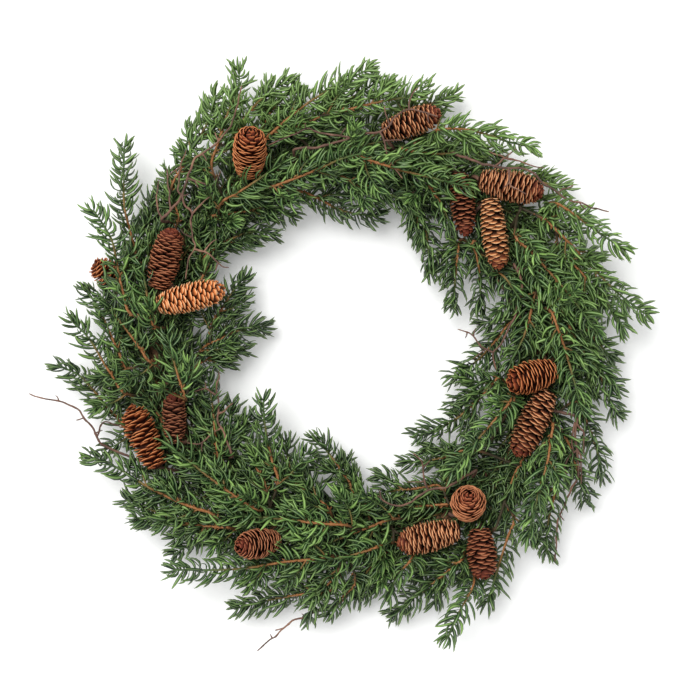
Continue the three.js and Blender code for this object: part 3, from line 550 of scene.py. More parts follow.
def over_cone(points, cone, margin=0.0, from_share=0.0):
    """True for each point above a cone and within its outline, past from_share of its length."""
    base, tip, _ = cone_axis(cone)
    along, on_axis, away = from_above(points, cone, held=True)
    reach = cone["width"] / 2 * np.maximum(cone_outline(on_axis), SLIMMEST) + margin
    above = points[..., 2] > base[2] + on_axis * (tip - base)[2]
    return (away < reach) & above & (along >= from_share)


# %% [markdown]
# The greenery also has an outline of its own: a hole in the middle and an outer edge. Both are given
# as distances from a middle point, every 22.5 degrees clockwise from the top. Small shoots that are
# added to fill the wreath stay between the two.

# %% The room between the hole and the outer edge
BEARING_STEP = 22.5
HOLE_MIDDLE = (345, 335)
HOLE_EDGE = [113, 115, 98, 94, 98, 110, 112, 135, 122, 105, 98, 103, 85, 92, 120, 122]
OUTER_MIDDLE = (345, 350)
OUTER_EDGE = [285, 284, 278, 300, 290, 282, 285, 290, 265, 290, 284, 284, 285, 285, 290, 300]


def edge_gap(point, middle, edge):
    """How far a point is outside an edge."""
    across, upward = point[:2] - place(middle, 0)[:2]
    bearing = math.degrees(math.atan2(across, upward)) % 360
    radius = np.interp(bearing / BEARING_STEP, range(len(edge) + 1), [*edge, edge[0]])
    return math.hypot(across, upward) - radius


def in_room(point, margin):
    return (edge_gap(point, HOLE_MIDDLE, HOLE_EDGE) > margin
            and edge_gap(point, OUTER_MIDDLE, OUTER_EDGE) < -margin)


# %% [markdown]
# ## Needles
#
# A pine spray carries flat, pointed needles all round its stem. Each starts at a steep angle and
# arches forward. They stand as leaves do in nature, each turned by the golden angle from the last,
# so no rows show. A needle is a strap with a keel: five sections of four corners and a point. Low
# needles that hardly show get three sections, which saves many triangles.

# %% Blades from their three control points
FINE = np.array([[0.0, 0.5], [0.22, 0.9], [0.46, 1.0], [0.7, 0.86], [0.89, 0.52]])
PLAIN = np.array([[0.0, 0.6], [0.45, 1.0], [0.82, 0.7]])
KEEL = 0.42
TIP_FACES = 4


def arches(start, middle, end, t):
    """Points at the shares t along each curve from start to end that is drawn towards middle."""
    t = t[None, :, None]
    return (1 - t) ** 2 * start[:, None] + 2 * t * (1 - t) * middle[:, None] + t ** 2 * end[:, None]


def blades(start, middle, end, width, up, form):
    """Closed needles, one for each row; form lists the place and width of a needle's sections."""
    count = len(start)
    places, widths = form.T
    t = places[None, :, None]
    centre = arches(start, middle, end, places)
    forward = unit((1 - t) * (middle - start)[:, None] + t * (end - middle)[:, None])
    side = unit(np.cross(forward, up[:, None]))
    lift = np.cross(side, forward)
    half = (width[:, None] * widths / 2)[..., None]
    rings = np.stack([centre - side * half, centre + lift * half * KEEL,
                      centre + side * half, centre - lift * half * KEEL], 2)
    points = np.concatenate([rings.reshape(count, 4 * len(form), 3), end[:, None]], 1)
    per = points.shape[1]
    last = per - 5
    quads = [[ring + k, ring + (k + 1) % 4, ring + (k + 1) % 4 + 4, ring + k + 4]
             for ring in range(0, last, 4) for k in range(4)]
    quads.append([3, 2, 1, 0])
    tips = [[last + k, last + (k + 1) % 4, per - 1] for k in range(TIP_FACES)]
    offset = (np.arange(count) * per)[:, None, None]
    u = np.tile([0, 0.5, 1, 0.5], len(form))
    uv = np.column_stack([np.append(u, 0.5), np.append(np.repeat(places, 4), 1)])
    return (points.reshape(-1, 3),
            [(np.array(quads) + offset).reshape(-1, 4), (np.array(tips) + offset).reshape(-1, 3)],
            np.tile(uv, (count, 1)), 0)


# %% [markdown]
# The needles of one spray follow its stem. Along the stem they are long and stand well out, and at
# its tip they are shorter and point forward. On some sprays they part to both sides and show the
# stem, on others they stand all round. The rest is chance: no two bend or fall the same way.

# %% Where each needle of a stem goes
GOLDEN = math.radians(137.508)
PER_MM = 0.74
LOW_DENSITY = 1.25
NEEDLE_LENGTH = 23.5
NEEDLE_WIDTHS = (2.45, 3.7)
TIP_ZONE = 26
LEAN_AT_TIP = 27
LEAN_BEHIND = 22
LEAN_IF_UPRIGHT = -8
LEAN_SPREAD = 9
BEND = -80
BEND_SPREAD = 34
BARK_GAP = 0.9
PARTED = 0.45
ALL_ROUND = 0.9
WORN_KEPT = 0.4
rng = np.random.default_rng(2311)


def needle_places(length, leaf_from, worn, per_mm):
    """Where needles stand along a stem, in mm; over the first worn mm most have dropped."""
    count = max(int((length - leaf_from) * per_mm), 1)
    at = leaf_from + (np.arange(count) + rng.uniform(-0.4, 0.4, count)) / per_mm
    at = np.clip(at, leaf_from, length)
    at = at[(at > leaf_from + worn) | (rng.random(count) < WORN_KEPT)]
    return np.append(at, np.full(int(rng.integers(3, 6)), length))


def needle_controls(line, at, size, flattened):
    """Start, middle, end, width and up of a needle at each of some places along a stem."""
    count = len(at)
    along = lengths_along(line)
    tangents, normals, across = frames_along(line)

    def carried(values):
        return np.stack([np.interp(at, along, values[:, k]) for k in range(3)], 1)

    root, forward = carried(line), unit(carried(tangents))
    turn = (np.arange(count) * GOLDEN + rng.normal(0, 0.22, count))[:, None]
    outward = np.cos(turn) * carried(normals) + np.sin(turn) * carried(across)
    outward = unit(outward * np.array([1.0, 1.0, flattened]))
    behind = np.clip((along[-1] - at) / TIP_ZONE, 0, 1)
    upright = np.clip(outward[:, 2], 0, 1)
    lean = np.radians(LEAN_AT_TIP + LEAN_BEHIND * behind + LEAN_IF_UPRIGHT * upright
                      + rng.normal(0, LEAN_SPREAD, count))
    bend = np.radians(rng.normal(BEND, BEND_SPREAD, count)) * (0.62 + 0.38 * behind)
    first, second = (lean - bend / 2)[:, None], (lean + bend / 2)[:, None]
    reach = NEEDLE_LENGTH * size * (0.66 + 0.34 * behind ** 0.6)
    reach = (reach * rng.uniform(0.74, 1.18, count))[:, None]
    falls = np.sign(rng.uniform(-1, 1, count)) * upright * rng.uniform(0.3, 1.0, count)
    aside = np.cross(forward, outward) * (falls + rng.normal(0, 0.5, count))[:, None]
    start = root + outward * BARK_GAP
    leaving = unit(np.cos(first) * forward + np.sin(first) * outward + aside * 0.35)
    ending = unit(np.cos(second) * forward + np.sin(second) * outward + aside)
    middle = start + reach * 0.46 * leaving
    end = middle + reach * 0.58 * ending
    up = unit(UP + rng.normal(0, 0.45, (count, 3)))
    return start, middle, end, rng.uniform(*NEEDLE_WIDTHS, count), up


# %% [markdown]
# Needles give way to what is there. Those that would run through a cone are left off, as a wreath
# maker pushes them aside, and those at the foot of a buried cone are lifted to lie on it. None
# reaches below the surface that the wreath lies on, or above its greatest height.

# %% The needles of a spray
LOWEST_NEEDLE = 1.0
HIGHEST_NEEDLE = 91.0
REST_GAP = 1.6
REST_LIFT = 28.0
REST_ZONE = (-0.4, 0.45)
NEEDLE_GAP = 0.4
TESTED = np.array([0.15, 0.4, 0.6, 0.8, 1.0])


def keep_in_room(start, middle, end):
    """Flattens needles that would pass the floor or the ceiling."""
    for point in (middle, end):
        rise = point[:, 2] - start[:, 2]
        room = np.where(rise > 0, HIGHEST_NEEDLE - start[:, 2], start[:, 2] - LOWEST_NEEDLE)
        share = np.minimum(1, np.maximum(room, 0.2) / np.maximum(np.abs(rise), 1e-6))
        point[:, 2] = start[:, 2] + rise * share


def rest_on_cones(start, middle, end):
    """Lifts needles that meet the foot of a buried cone, so that they lie on it."""
    for number, (at_foot, _) in CROSSED.items():
        cone = CONES[number - 1]
        base, tip, length = cone_axis(cone)
        half, rise = cone["width"] / 2, (tip - base)[2]
        flat = np.linalg.norm((tip - base)[:2])
        chosen = rng.random(len(start)) < at_foot
        for point, gap in ((middle, REST_GAP * 3), (end, REST_GAP)):
            along, _, away = from_above(point, cone)
            ahead = along + half * rise / flat / length
            room = (half * cone_outline(np.clip(ahead, 0, 1))) ** 2 - away ** 2
            top = base[2] + along * rise + np.sqrt(np.maximum(room, 0)) * length / flat + gap
            lifted = chosen & (room > 0) & (along > REST_ZONE[0]) & (along < REST_ZONE[1])
            lifted &= top - point[:, 2] < REST_LIFT
            point[:, 2] = np.where(lifted, np.maximum(point[:, 2], top), point[:, 2])


def spray_needles(line, leaf_from, size=1.0, flattened=PARTED, worn=0.0, low=False):
    per_mm = PER_MM * (LOW_DENSITY if low else 1)
    at = needle_places(lengths_along(line)[-1], leaf_from, worn, per_mm)
    start, middle, end, width, up = needle_controls(line, at, size, flattened)
    rest_on_cones(start, middle, end)
    keep_in_room(start, middle, end)
    path = arches(start, middle, end, TESTED)
    free = ~inside_cones(path, NEEDLE_GAP).any(1)
    for number, cone in enumerate(CONES, 1):
        at_foot, at_tip = CROSSED.get(number, (0.0, 0.0))
        allowed = np.where(over_cone(path, cone, 0.0, TIP_HALF).any(1), at_tip, at_foot)
        free &= ~over_cone(path, cone).any(1) | (rng.random(len(free)) < allowed)
    form = PLAIN if low else FINE
    return blades(start[free], middle[free], end[free], width[free], up[free], form)


# %% [markdown]
# ## Shader maths as expressions
#
# A material is a graph of nodes, and a graph is hard to read as a list of links. This class wraps a
# socket, so that `1 - mask` or `noise * 0.3` adds the Math node it stands for. Colours go through a
# Mix node, because a Math node would turn them grey, and are written as in a paint chart.

# %% A socket that does sums
def paint(code):
    """A paint chart's colour as the four numbers a shader uses."""
    values = [int(code[k:k + 2], 16) / 255 for k in (1, 3, 5)]
    return (*(v / 12.92 if v < 0.04045 else ((v + 0.055) / 1.055) ** 2.4 for v in values), 1)


def maths(operation, reflected=False):
    """An operator that adds one Math node; a reflected one takes its own socket second."""
    def method(self, other=0):
        first, second = (other, self) if reflected else (self, other)
        return self.node("Math", {"operation": operation}, {0: first, 1: second})
    return method


class Shade:
    def __init__(self, tree, socket=None):
        self.tree, self.socket = tree, socket

    def node(self, kind, settings=None, inputs=None, output=0):
        """Adds a node: its settings come first, then the values, colours or links of its sockets."""
        made = self.tree.nodes.new("ShaderNode" + kind)
        for name, value in (settings or {}).items():
            if name == "stops":
                ramp = made.color_ramp.elements
                for position, _ in value[1:-1]:
                    ramp.new(position)
                for element, (position, colour) in zip(ramp, value):
                    element.position, element.color = position, paint(colour)
            else:
                setattr(made, name, value)
        for name, value in (inputs or {}).items():
            if isinstance(value, Shade):
                self.tree.links.new(value.socket, made.inputs[name])
            else:
                made.inputs[name].default_value = paint(value) if isinstance(value, str) else value
        return Shade(self.tree, made.outputs[output] if len(made.outputs) else None)

    __add__ = __radd__ = maths("ADD")
    __mul__ = __rmul__ = maths("MULTIPLY")
    __pow__ = maths("POWER")
    __sub__ = maths("SUBTRACT")
    __rsub__ = maths("SUBTRACT", reflected=True)
    __abs__ = maths("ABSOLUTE")

    def span(self, low, high):
        """0 where this is low, 1 where it is high, held between."""
        return self.node("MapRange", {}, {0: self, 1: low, 2: high})

    def mix(self, low, high):
        """The colour low where this is 0 and high where it is 1."""
        return self.node("Mix", {"data_type": "RGBA"}, {0: self, 6: low, 7: high}, 2)

    def ramp(self, *stops):
        return self.node("ValToRGB", {"stops": stops}, {0: self})

    def split(self, kind, output):
        """The x, y and z of a node's output."""
        parts = self.node("SeparateXYZ", {}, {0: self.node(kind, output=output)})
        return [Shade(self.tree, part) for part in parts.socket.node.outputs]

    def uv(self):
        """The u and v of the piece's own map."""
        return self.split("TexCoord", 2)[:2]

    def chance(self):
        """A number between 0 and 1, another one for each island."""
        return self.node("NewGeometry", output=8)

    def noise(self, scale, detail=3, roughness=0.5):
        where = self.node("TexCoord", output=3)
        inputs = {"Vector": where, "Scale": scale, "Detail": detail, "Roughness": roughness}
        return self.node("TexNoise", {}, inputs)

    def bump(self, strength, distance):
        """A surface with this as its relief; distance is in metres."""
        inputs = {"Strength": strength, "Distance": distance, "Height": self}
        return self.node("Bump", {}, inputs)

    def finish(self, **inputs):
        """Closes the material with one surface shader; _ in a socket's name stands for a space."""
        inputs = {name.replace("_", " "): value for name, value in inputs.items()}
        self.node("OutputMaterial", {}, {0: self.node("BsdfPrincipled", {}, inputs)})


def start_finish(name):
    material = bpy.data.materials.new(name)
    material.use_nodes = True
    material.node_tree.nodes.clear()
    return material, Shade(material.node_tree)


# %% [markdown]
# ## Needle green
#
# Pine needles are smooth and waxy. No two are the same green, so every island draws its green from
# a ramp, whose brightest stop also paints a highlight on a few needles. The foot of a needle gets
# painted shade where the needles crowd the stem, and the point is paler. A thin pale line along the
# keel is a painted highlight, and the darker edges beside it are painted shade. Low needles are
# painted darker and bluer than the ones on top, as shade by height. The outer needles towards the
# top of the wreath are paler.

# %% The needle finish
pine_green, shade = start_finish("pine_green")
chance = shade.chance()
across_needle, along_needle = shade.uv()
right, up, height = shade.split("NewGeometry", 0)
# Painted shade by height: low needles mix towards the darker, bluer shaded green, and high ones towards
# the lit green.
lit_share_by_height = height.span(0.022, 0.075)
# The outer needles towards the top of the wreath are made paler.
outward = ((right * right + up * up) ** 0.5).span(0.18, 0.29)
paler_top_outer = outward * (right * 0.3 + up).span(0.06, 0.26)
# The greens differ from needle to needle by chance, and the bright stop at 0.87 also paints a highlight
# on a few needles.
lit_green = chance.ramp((0.0, "#20411d"), (0.3, "#294f1f"), (0.6, "#3c6523"), (0.87, "#8fb75c"),
                     (1.0, "#365e2c"))
# This darker, bluer green is painted shade for the low needles.
shaded_green = chance.ramp((0.0, "#0c1e14"), (0.35, "#152c17"), (0.7, "#233e1b"), (1.0, "#193420"))
from_keel = abs(across_needle - 0.5)
green = lit_share_by_height.mix(shaded_green, lit_green)
# Painted shade at the foot of each needle, where the needles crowd round the stem.
green = ((1 - along_needle.span(0.0, 0.42)) * 0.72).mix(green, "#172b1c")
green = (along_needle.span(0.55, 1.0) * 0.3).mix(green, "#8aa650")
green = (paler_top_outer * 0.3).mix(green, "#a6cf6a")
# A painted highlight along the keel, and painted shade on the edges beside it.
green = ((1 - from_keel.span(0.0, 0.2)) * 0.32).mix(green, "#b9d888")
green = (from_keel.span(0.26, 0.5) * 0.6).mix(green, "#102614")
streaks = shade.noise(900, 2)
shade.finish(Base_Color=green, Roughness=0.22 + streaks * 0.18 + chance * 0.16,
             Normal=streaks.bump(0.25, 0.0003), Specular_IOR_Level=0.5)
print("finish:", pine_green.name)

# %% [markdown]
# ## Stem, twig and vine
#
# A pine stem has orange-brown bark, dark at its foot, that turns green where the needles crowd.
# Twigs have smooth grey-pink bark. The ring is grape vine, whose bark peels in long strips, so its
# noise is stretched along the ring's own direction by the v of its tube.

# %% Finishes of stems and bark
STRIPS = (9, 260, 1)
stem_brown, shade = start_finish("pine_stem")
_, along_stem = shade.uv()
grain = shade.noise(420, 4, 0.6)
wood = grain.ramp((0.25, "#744a26"), (0.5, "#976338"), (0.75, "#b9855a"))
tinted = (along_stem + grain * 0.3).span(0.55, 0.95).mix(wood, "#4d6636")
tinted = (1 - along_stem.span(0.06, 0.12)).mix(tinted, "#3a3322")
shade.finish(Base_Color=tinted, Roughness=0.75 - grain * 0.2, Normal=grain.bump(0.5, 0.0005),
             Specular_IOR_Level=0.3)

twig_bark, shade = start_finish("twig_bark")
patches = shade.noise(55, 3, 0.55)
fine = shade.noise(700, 4, 0.65)
bark = patches.ramp((0.3, "#46332c"), (0.48, "#674a3f"), (0.62, "#85604e"), (0.8, "#a17d66"))
bark = (fine.span(0.45, 0.75) * 0.3).mix(bark, "#a98c78")
shade.finish(Base_Color=bark, Roughness=0.62 + fine * 0.25, Normal=fine.bump(0.6, 0.0006),
             Specular_IOR_Level=0.3)

vine_bark, shade = start_finish("vine_bark")
strips = shade.node("Mapping", {}, {0: shade.node("TexCoord", output=2), 3: STRIPS})
strips = shade.node("TexNoise", {}, {"Vector": strips, "Scale": 1.0, "Detail": 5, "Roughness": 0.65})
bark = strips.ramp((0.3, "#3b2a20"), (0.48, "#6b4e38"), (0.62, "#8d6c4d"), (0.8, "#b3936d"))
bark = (shade.noise(28).span(0.5, 0.75) * 0.5).mix(bark, "#57483c")
shade.finish(Base_Color=bark, Roughness=0.7 + strips * 0.25, Normal=strips.bump(0.8, 0.001),
             Specular_IOR_Level=0.25)

painted_wire, shade = start_finish("painted_wire")
wear = shade.noise(600)
coat = wear.ramp((0.35, "#24452c"), (0.62, "#2f5a38"), (0.8, "#4c7350"))
shade.finish(Base_Color=coat, Roughness=0.35 + wear * 0.3, Normal=wear.bump(0.3, 0.0003),
             Specular_IOR_Level=0.5)
print("finishes:", stem_brown.name, twig_bark.name, vine_bark.name, painted_wire.name)

# %% [markdown]
# ## Cone finishes
#
# A scale is darkened where it is tucked under the next, which is painted shade, and is pale at its
# lip, partly its worn margin and partly a painted highlight. The v of its UV runs from the root to
# the lip, so one ramp along v paints the dark gaps and the bright edges. The u runs from the cone's
# base to its tip, where the scales are redder. Cones of a wreath ripen differently, so there are
# seven tones, from dark brown to nearly orange.

# %% The cone finishes
TIP_RED = "#8a3a28"


def cone_finish(name, root, body, lip, edge, redness=0.4):
    material, shade = start_finish(name)
    to_tip, along = shade.uv()
    grain = shade.noise(520, 4, 0.6)
    # The root colour is painted shade in the gaps under the next scale, and the lip and edge colours are
    # a pale margin with a painted highlight.
    tone = (along + (grain - 0.5) * 0.14).ramp((0.0, root), (0.58, root), (0.8, body), (0.94, lip),
                                               (1.0, edge))
    tone = (shade.chance().span(0.3, 1.0) * 0.25).mix(tone, body)
    tone = (grain.span(0.5, 0.8) * 0.12).mix(tone, edge)
    tone = (to_tip.span(0.8, 0.98) * redness).mix(tone, TIP_RED)
    shade.finish(Base_Color=tone, Roughness=0.5 + grain * 0.3, Normal=grain.bump(0.6, 0.0006),
                 Specular_IOR_Level=0.18)
    return material


cone_finishes = {
    "deep": cone_finish("cone_deep", "#180805", "#3f1d12", "#733f29", "#a56d4e"),
    "dark": cone_finish("cone_dark", "#1d0a06", "#4e2416", "#894b30", "#bd7d59"),
    "brown": cone_finish("cone_brown", "#1c0905", "#5a2a17", "#a8643c", "#ecb081"),
    "tan": cone_finish("cone_tan", "#2a1208", "#874c29", "#d8935d", "#ffce9c"),
    "russet": cone_finish("cone_russet", "#36130a", "#773417", "#a85a2f", "#d68d5b", 0.15),
    "bud": cone_finish("cone_bud", "#4f2211", "#86462a", "#a05a38", "#cf8b61", 0.35),
    "light": cone_finish("cone_light", "#5a2a13", "#cf743c", "#f2a468", "#ffd0a0", 0.0),
}
print("cone finishes:", list(cone_finishes))

# %% [markdown]
# ## Growing the sprays
#
# A spray is a stem with a bare foot, a leafy part, and short stubs where old needles have dropped.
# The v of its UV tells the stem's finish which part is which.

# %% Stems and stubs
STEP = 2
STEM_RADII = (1.6, 1.0)
STEM_SIDES = 5
KNOB = 0.16
FOOT_V = 0.1
PEG_STEP = 4.5
PEG_LENGTHS = (2.5, 5.5)
PEG_WIDTHS = (0.9, 1.6)
PEG_V = 0.3


def stem_tube(line, radii, leaf_from, greener=FOOT_V):
    """A stem whose v is below FOOT_V on its bare foot and runs from greener to 1 on the leafy part."""
    knobs = 1 + KNOB * rng.uniform(-1, 1, len(line))
    shape = tube(line, np.linspace(*radii, len(line)) * knobs, STEM_SIDES)
    at = np.repeat(np.arange(len(line)) * STEP, STEM_SIDES)
    leafy = greener + (1 - greener) * (at - leaf_from) / max(at[-1] - leaf_from, 1)
    shape[2][:, 1] = np.where(at < leaf_from, FOOT_V * at / max(leaf_from, 1), leafy)
    return shape


def pegs(line, first, last, radius):
    """The short stubs that dropped needles leave on a stem, between two lengths along it in mm."""
    count = max(int((last - first) / PEG_STEP), 1)
    at = np.linspace(first, last, count) + rng.uniform(-2, 2, count)
    k = np.clip(at / STEP, 0, len(line) - 2).astype(int)
    tangents, normals, across = frames_along(line)
    turn = rng.uniform(0, 2 * math.pi, (count, 1))
    outward = unit((np.cos(turn) * normals[k] + np.sin(turn) * across[k]) * np.array([1, 1, 0.6]))
    start = line[k] + outward * radius * 0.6
    way = unit(outward + tangents[k] * 0.9)
    reach = rng.uniform(*PEG_LENGTHS, (count, 1))
    end = start + unit(way + tangents[k] * 0.3) * reach
    shape = blades(start, start + way * reach * 0.5, end, rng.uniform(*PEG_WIDTHS, count),
                   np.tile(UP, (count, 1)), PLAIN)
    shape[2][:, 1] = PEG_V
    return shape


# %% [markdown]
# A pine spray also branches. Side shoots leave it to the left and right by turns, get shorter
# towards its tip and hang a little below it. One that would meet a cone, or leave the room that the
# wreath has, isn't grown. The foot of a spray goes under any cone that it would lie across.

# %% Side shoots, and stems under cones
SHOOT_RADII = (1.0, 0.7)
FIRST_SHOOT = (2, 12)
LEAST_LEAFY = 14
SHOOT_STEP = 23
SHOOT_LENGTHS = (46, 26)
SHOOT_LEANS = (34, 50)
SHOOT_SPREAD = 0.62
SHOOT_SINK = -0.16
SHOOT_BEND = 0.45
SHOOT_FOOT = 2
SHOOT_BARE = 5
SHOOT_GREEN = 0.5
SHOOT_SIZE = 0.92
CONE_GAP = 2.0
EDGE_GAP = 12
LOWEST_SHOOT = 5
LOWEST_STEM = 6
DUCK_POINTS = 11
DUCK_DEPTH = 1.6
DUCK_PAST = 12


def side_shoots(line, leaf_from):
    """Short shoots on the leafy part of a spray, up to the share of its length SHOOT_SPREAD."""
    tangents = unit(np.gradient(line, axis=0))
    shoots, side = [], rng.choice([-1, 1])
    last = (len(line) - 1) * STEP * SHOOT_SPREAD
    at = leaf_from + rng.uniform(*FIRST_SHOOT)
    while at < max(last, leaf_from + LEAST_LEAFY):
        k = min(int(at / STEP), len(line) - 2)
        share = np.clip(at / last, 0, 1)
        length = np.interp(share, [0, 1], SHOOT_LENGTHS) * rng.uniform(0.8, 1.15)
        forward = tangents[k]
        sideways = unit(np.cross(UP, forward)) * side
        lean = math.radians(rng.uniform(*SHOOT_LEANS))
        way = math.cos(lean) * forward + math.sin(lean) * sideways + UP * SHOOT_SINK
        bent = unit(way + forward * 0.55)
        middle = line[k] + way * length * SHOOT_BEND
        points = np.array([line[k], middle, middle + bent * length * (1 - SHOOT_BEND)])
        points[1:, 2] = np.maximum(points[1:, 2], LOWEST_SHOOT)
        shoot = smooth_line(points, STEP)
        if not inside_cones(shoot[4:], CONE_GAP).any() and in_room(shoot[-1], EDGE_GAP):
            shoots.append(shoot)
        side = -side
        at += SHOOT_STEP * rng.uniform(0.8, 1.25)
    return shoots


def duck_under_cones(line, last):
    """Sends the foot of a spray under any cone that it would otherwise lie across."""
    window = np.hanning(DUCK_POINTS)
    for cone in CONES:
        base, tip, _ = cone_axis(cone)
        crossing = over_cone(line, cone, 1.0)
        crossing[last:] = False
        if crossing.any():
            under = min(base[2], tip[2]) - cone["width"] / 2 - CONE_GAP
            share = np.convolve(crossing, window / window.sum() * DUCK_DEPTH, "same")
            share = np.clip(share, 0, 1)
            line[:, 2] = line[:, 2] * (1 - share) + np.maximum(under, LOWEST_STEM) * share


# %% [markdown]
# The first spray of a bunch is seated on the ring and the others fork from it. Sprays on top have
# lost some needles near the foot, and low ones get the needles with three sections. Every bunch
# becomes two pieces, its needles and its stems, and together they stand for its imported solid.

# %% Bunches of sprays
LAYERS = [1, 2, 3, 4]
TOP_LAYER = 3
LOW_LAYER = 2
TIP_CUT = 6
THINNED = 3
FORK_BACK = 14
FORK_SHARE = 0.8
LEAFY_BEFORE = 12
FIRST_LEAF = 4
WORN_SHARE = 0.22
LEAST_WORN = 12
PEG_ZONE = 1.4
PARTED_SHARES = {True: 0.75, False: 0.4}


def make_greenery(name, needles, stems, stands_for):
    """Makes a piece of the needles and one of the stems, and returns the number of needles."""
    make_piece(name + "_needles", needles, [pine_green], stands_for)
    make_piece(name + "_stems", stems, [stem_brown], stands_for)
    return sum(len(tips) for _, (_, tips), _, _ in needles) // TIP_FACES


def spray_line(points, layer, node_name, main_line):
    """A spray's stem from its seat or fork, and where its own line begins, in mm along it."""
    line = settle(points, np.interp(layer, LAYERS, BASE_HEIGHTS), np.interp(layer, LAYERS, TIP_HEIGHTS),
                  node_name)
    line[-1] += unit(line[-2] - line[-1]) * TIP_CUT
    if main_line is None:
        roots = leads[node_name]
    else:
        behind = line[0] - unit(line[2] - line[0]) * FORK_BACK
        gaps = np.linalg.norm(main_line - behind, axis=1)
        roots = [main_line[int(np.argmin(gaps[:int(len(gaps) * FORK_SHARE)]))]]
    whole = smooth_line([*roots, *line[::THINNED], line[-1]], STEP)
    return whole, np.linalg.norm(whole - line[0], axis=1).argmin() * STEP


def grow_bunch(number, sprays):
    node_name = f"pine_bunch_{number:02d}"
    needles, stems, main_line = [], [], None
    for layer, *points in sprays:
        line, bare = spray_line(points, layer, node_name, main_line)
        if main_line is None:
            main_line = line
        duck_under_cones(line, bare // STEP + DUCK_PAST)
        leaf_from = max(bare - LEAFY_BEFORE, FIRST_LEAF)
        stems.append(stem_tube(line, STEM_RADII, bare))
        on_top, low = layer >= TOP_LAYER, layer <= LOW_LAYER
        worn = WORN_SHARE * (len(line) * STEP - leaf_from) if on_top else 0.0
        last_peg = leaf_from + max(worn, LEAST_WORN) * PEG_ZONE
        stems.append(pegs(line, leaf_from, last_peg, STEM_RADII[0]))
        flattened = PARTED if rng.random() < PARTED_SHARES[on_top] else ALL_ROUND
        needles.append(spray_needles(line, leaf_from, 1.0, flattened, worn, low))
        for shoot in side_shoots(line, leaf_from):
            stems.append(stem_tube(shoot, SHOOT_RADII, SHOOT_FOOT, SHOOT_GREEN))
            needles.append(spray_needles(shoot, SHOOT_BARE, SHOOT_SIZE, low=low))
    return make_greenery(f"pine_{number:02d}", needles, stems, [node_name])


print("needles:", sum(grow_bunch(number, sprays) for number, sprays in enumerate(BUNCHES, 1)))

# %% [markdown]
# ## Short sprigs on the ring
#
# A maker hides the vine with short cuttings pushed between the canes before the long sprays go on.
# They lie low, follow the same clockwise way round, and lean in or out by turns. Where one would
# meet a cone or leave the room, it is tried again at another angle, and left out after six tries.

# %% Low sprigs that cover the vine
RING_CENTRE = np.array([11, 8.5, 12.8])
RING_RADIUS = 197
SPRIG_COUNT = 150
SPRIG_LENGTHS = (44, 68)
SPRIG_RISE = 13
SPRIG_ADVANCE = 6
SPRIG_TRIES = 6
SPRIG_ANGLES = [20, 150, 75, 175, 5, 110]
SPRIG_FOOT = 12
SPRIG_GREEN = 0.55
SPRIG_SIZE = 0.95
LOWEST_SPRIG = 7
SPRIG_GAP = 0.5
SPRIG_EDGE_GAP = 10


def low_sprig(around, in_section):
    """A short line that starts in the ring and comes to lie beside it."""
    radial = np.array([math.cos(around), math.sin(around), 0])
    clockwise = np.array([math.sin(around), -math.cos(around), 0])
    start = np.array([*(RING_CENTRE + radial * RING_RADIUS)[:2], RING_CENTRE[2]])
    way = math.cos(in_section) * radial + math.sin(in_section) * UP
    first = start + way * SPRIG_RISE + clockwise * SPRIG_ADVANCE
    length = rng.uniform(*SPRIG_LENGTHS)
    lean = math.cos(in_section) * rng.uniform(0.35, 0.95)
    heading = unit(clockwise + radial * lean)
    middle = first + heading * length * 0.5 + UP * rng.uniform(0, 7)
    end = middle + unit(heading + clockwise * 0.3) * length * 0.5 + UP * rng.uniform(-8, 4)
    points = np.array([start, first, middle, end])
    points[1:, 2] = np.maximum(points[1:, 2], LOWEST_SPRIG)
    return smooth_line(points, STEP)


def free_sprig(number):
    """The quarter of the ring and the line of a sprig, or nothing where there is no room."""
    for attempt in range(SPRIG_TRIES):
        around = (number + rng.uniform(-0.5, 0.5)) * 2 * math.pi / SPRIG_COUNT
        angle = SPRIG_ANGLES[(number + attempt) % len(SPRIG_ANGLES)] + rng.uniform(-12, 12)
        line = low_sprig(around, math.radians(angle))
        if not inside_cones(line, SPRIG_GAP).any() and in_room(line[-1], SPRIG_EDGE_GAP):
            return int(around % (2 * math.pi) // (math.pi / 2)), line
    return None


def grow_sprigs():
    quarters = [([], []) for _ in range(4)]
    for number in range(SPRIG_COUNT):
        found = free_sprig(number)
        if found:
            quarter, line = found
            needles, stems = quarters[quarter]
            stems.append(stem_tube(line, SHOOT_RADII, SPRIG_FOOT, SPRIG_GREEN))
            needles.append(spray_needles(line, SPRIG_FOOT, SPRIG_SIZE, low=True))
    return sum(make_greenery(f"low_sprigs_{number}", *grown, [])
               for number, grown in enumerate(quarters, 1))


print("needles on low sprigs:", grow_sprigs())

# %% [markdown]
# ## Cones of overlapping scales
#
# Scales sit in spirals, each a golden-angle turn after the last. A scale is a thin curved fan,
# thickest near its lip. One scale could be modelled and scattered as instances, but an export drops
# those, and all would be alike. So each is a closed shell of two grids of corners of its own. The
# scales end on one surface, which runs over the base, up the side and over the tip.

# %% The surface that the scales follow
SURFACE_STEPS = 400


def cone_surface(cone, dome):
    """Arc length, radius and height along the outside, from the middle of the base to the tip."""
    length = cone_axis(cone)[2]
    half = cone["width"] / 2
    share = 1 - (1 - np.linspace(0, 1, SURFACE_STEPS)) ** 1.6
    radius = half * cone_outline(share) * cone_dome(share, dome)
    radius = np.append([0.2 * half, 0.5 * half], radius)
    height = np.append([-1.5, -1.0], share * length)
    arc = np.append(0, np.cumsum(np.hypot(np.diff(radius), np.diff(height))))
    return arc, radius, height


# %% [markdown]
# One list of faces serves every scale, since all have the same corners: a grid on top, a grid
# underneath, and strips round the edge that join them into a closed shell. A scale is slim at its
# root, broad before the lip and round at the lip.

# %% The faces of one scale
ACROSS = np.linspace(-1, 1, 5)
ALONG = np.array([0.0, 0.55, 0.88, 1.0])
FAN = np.array([0.34, 0.84, 0.98, 0.72])
THICKNESS = np.array([0.5, 0.65, 1.05, 0.8])


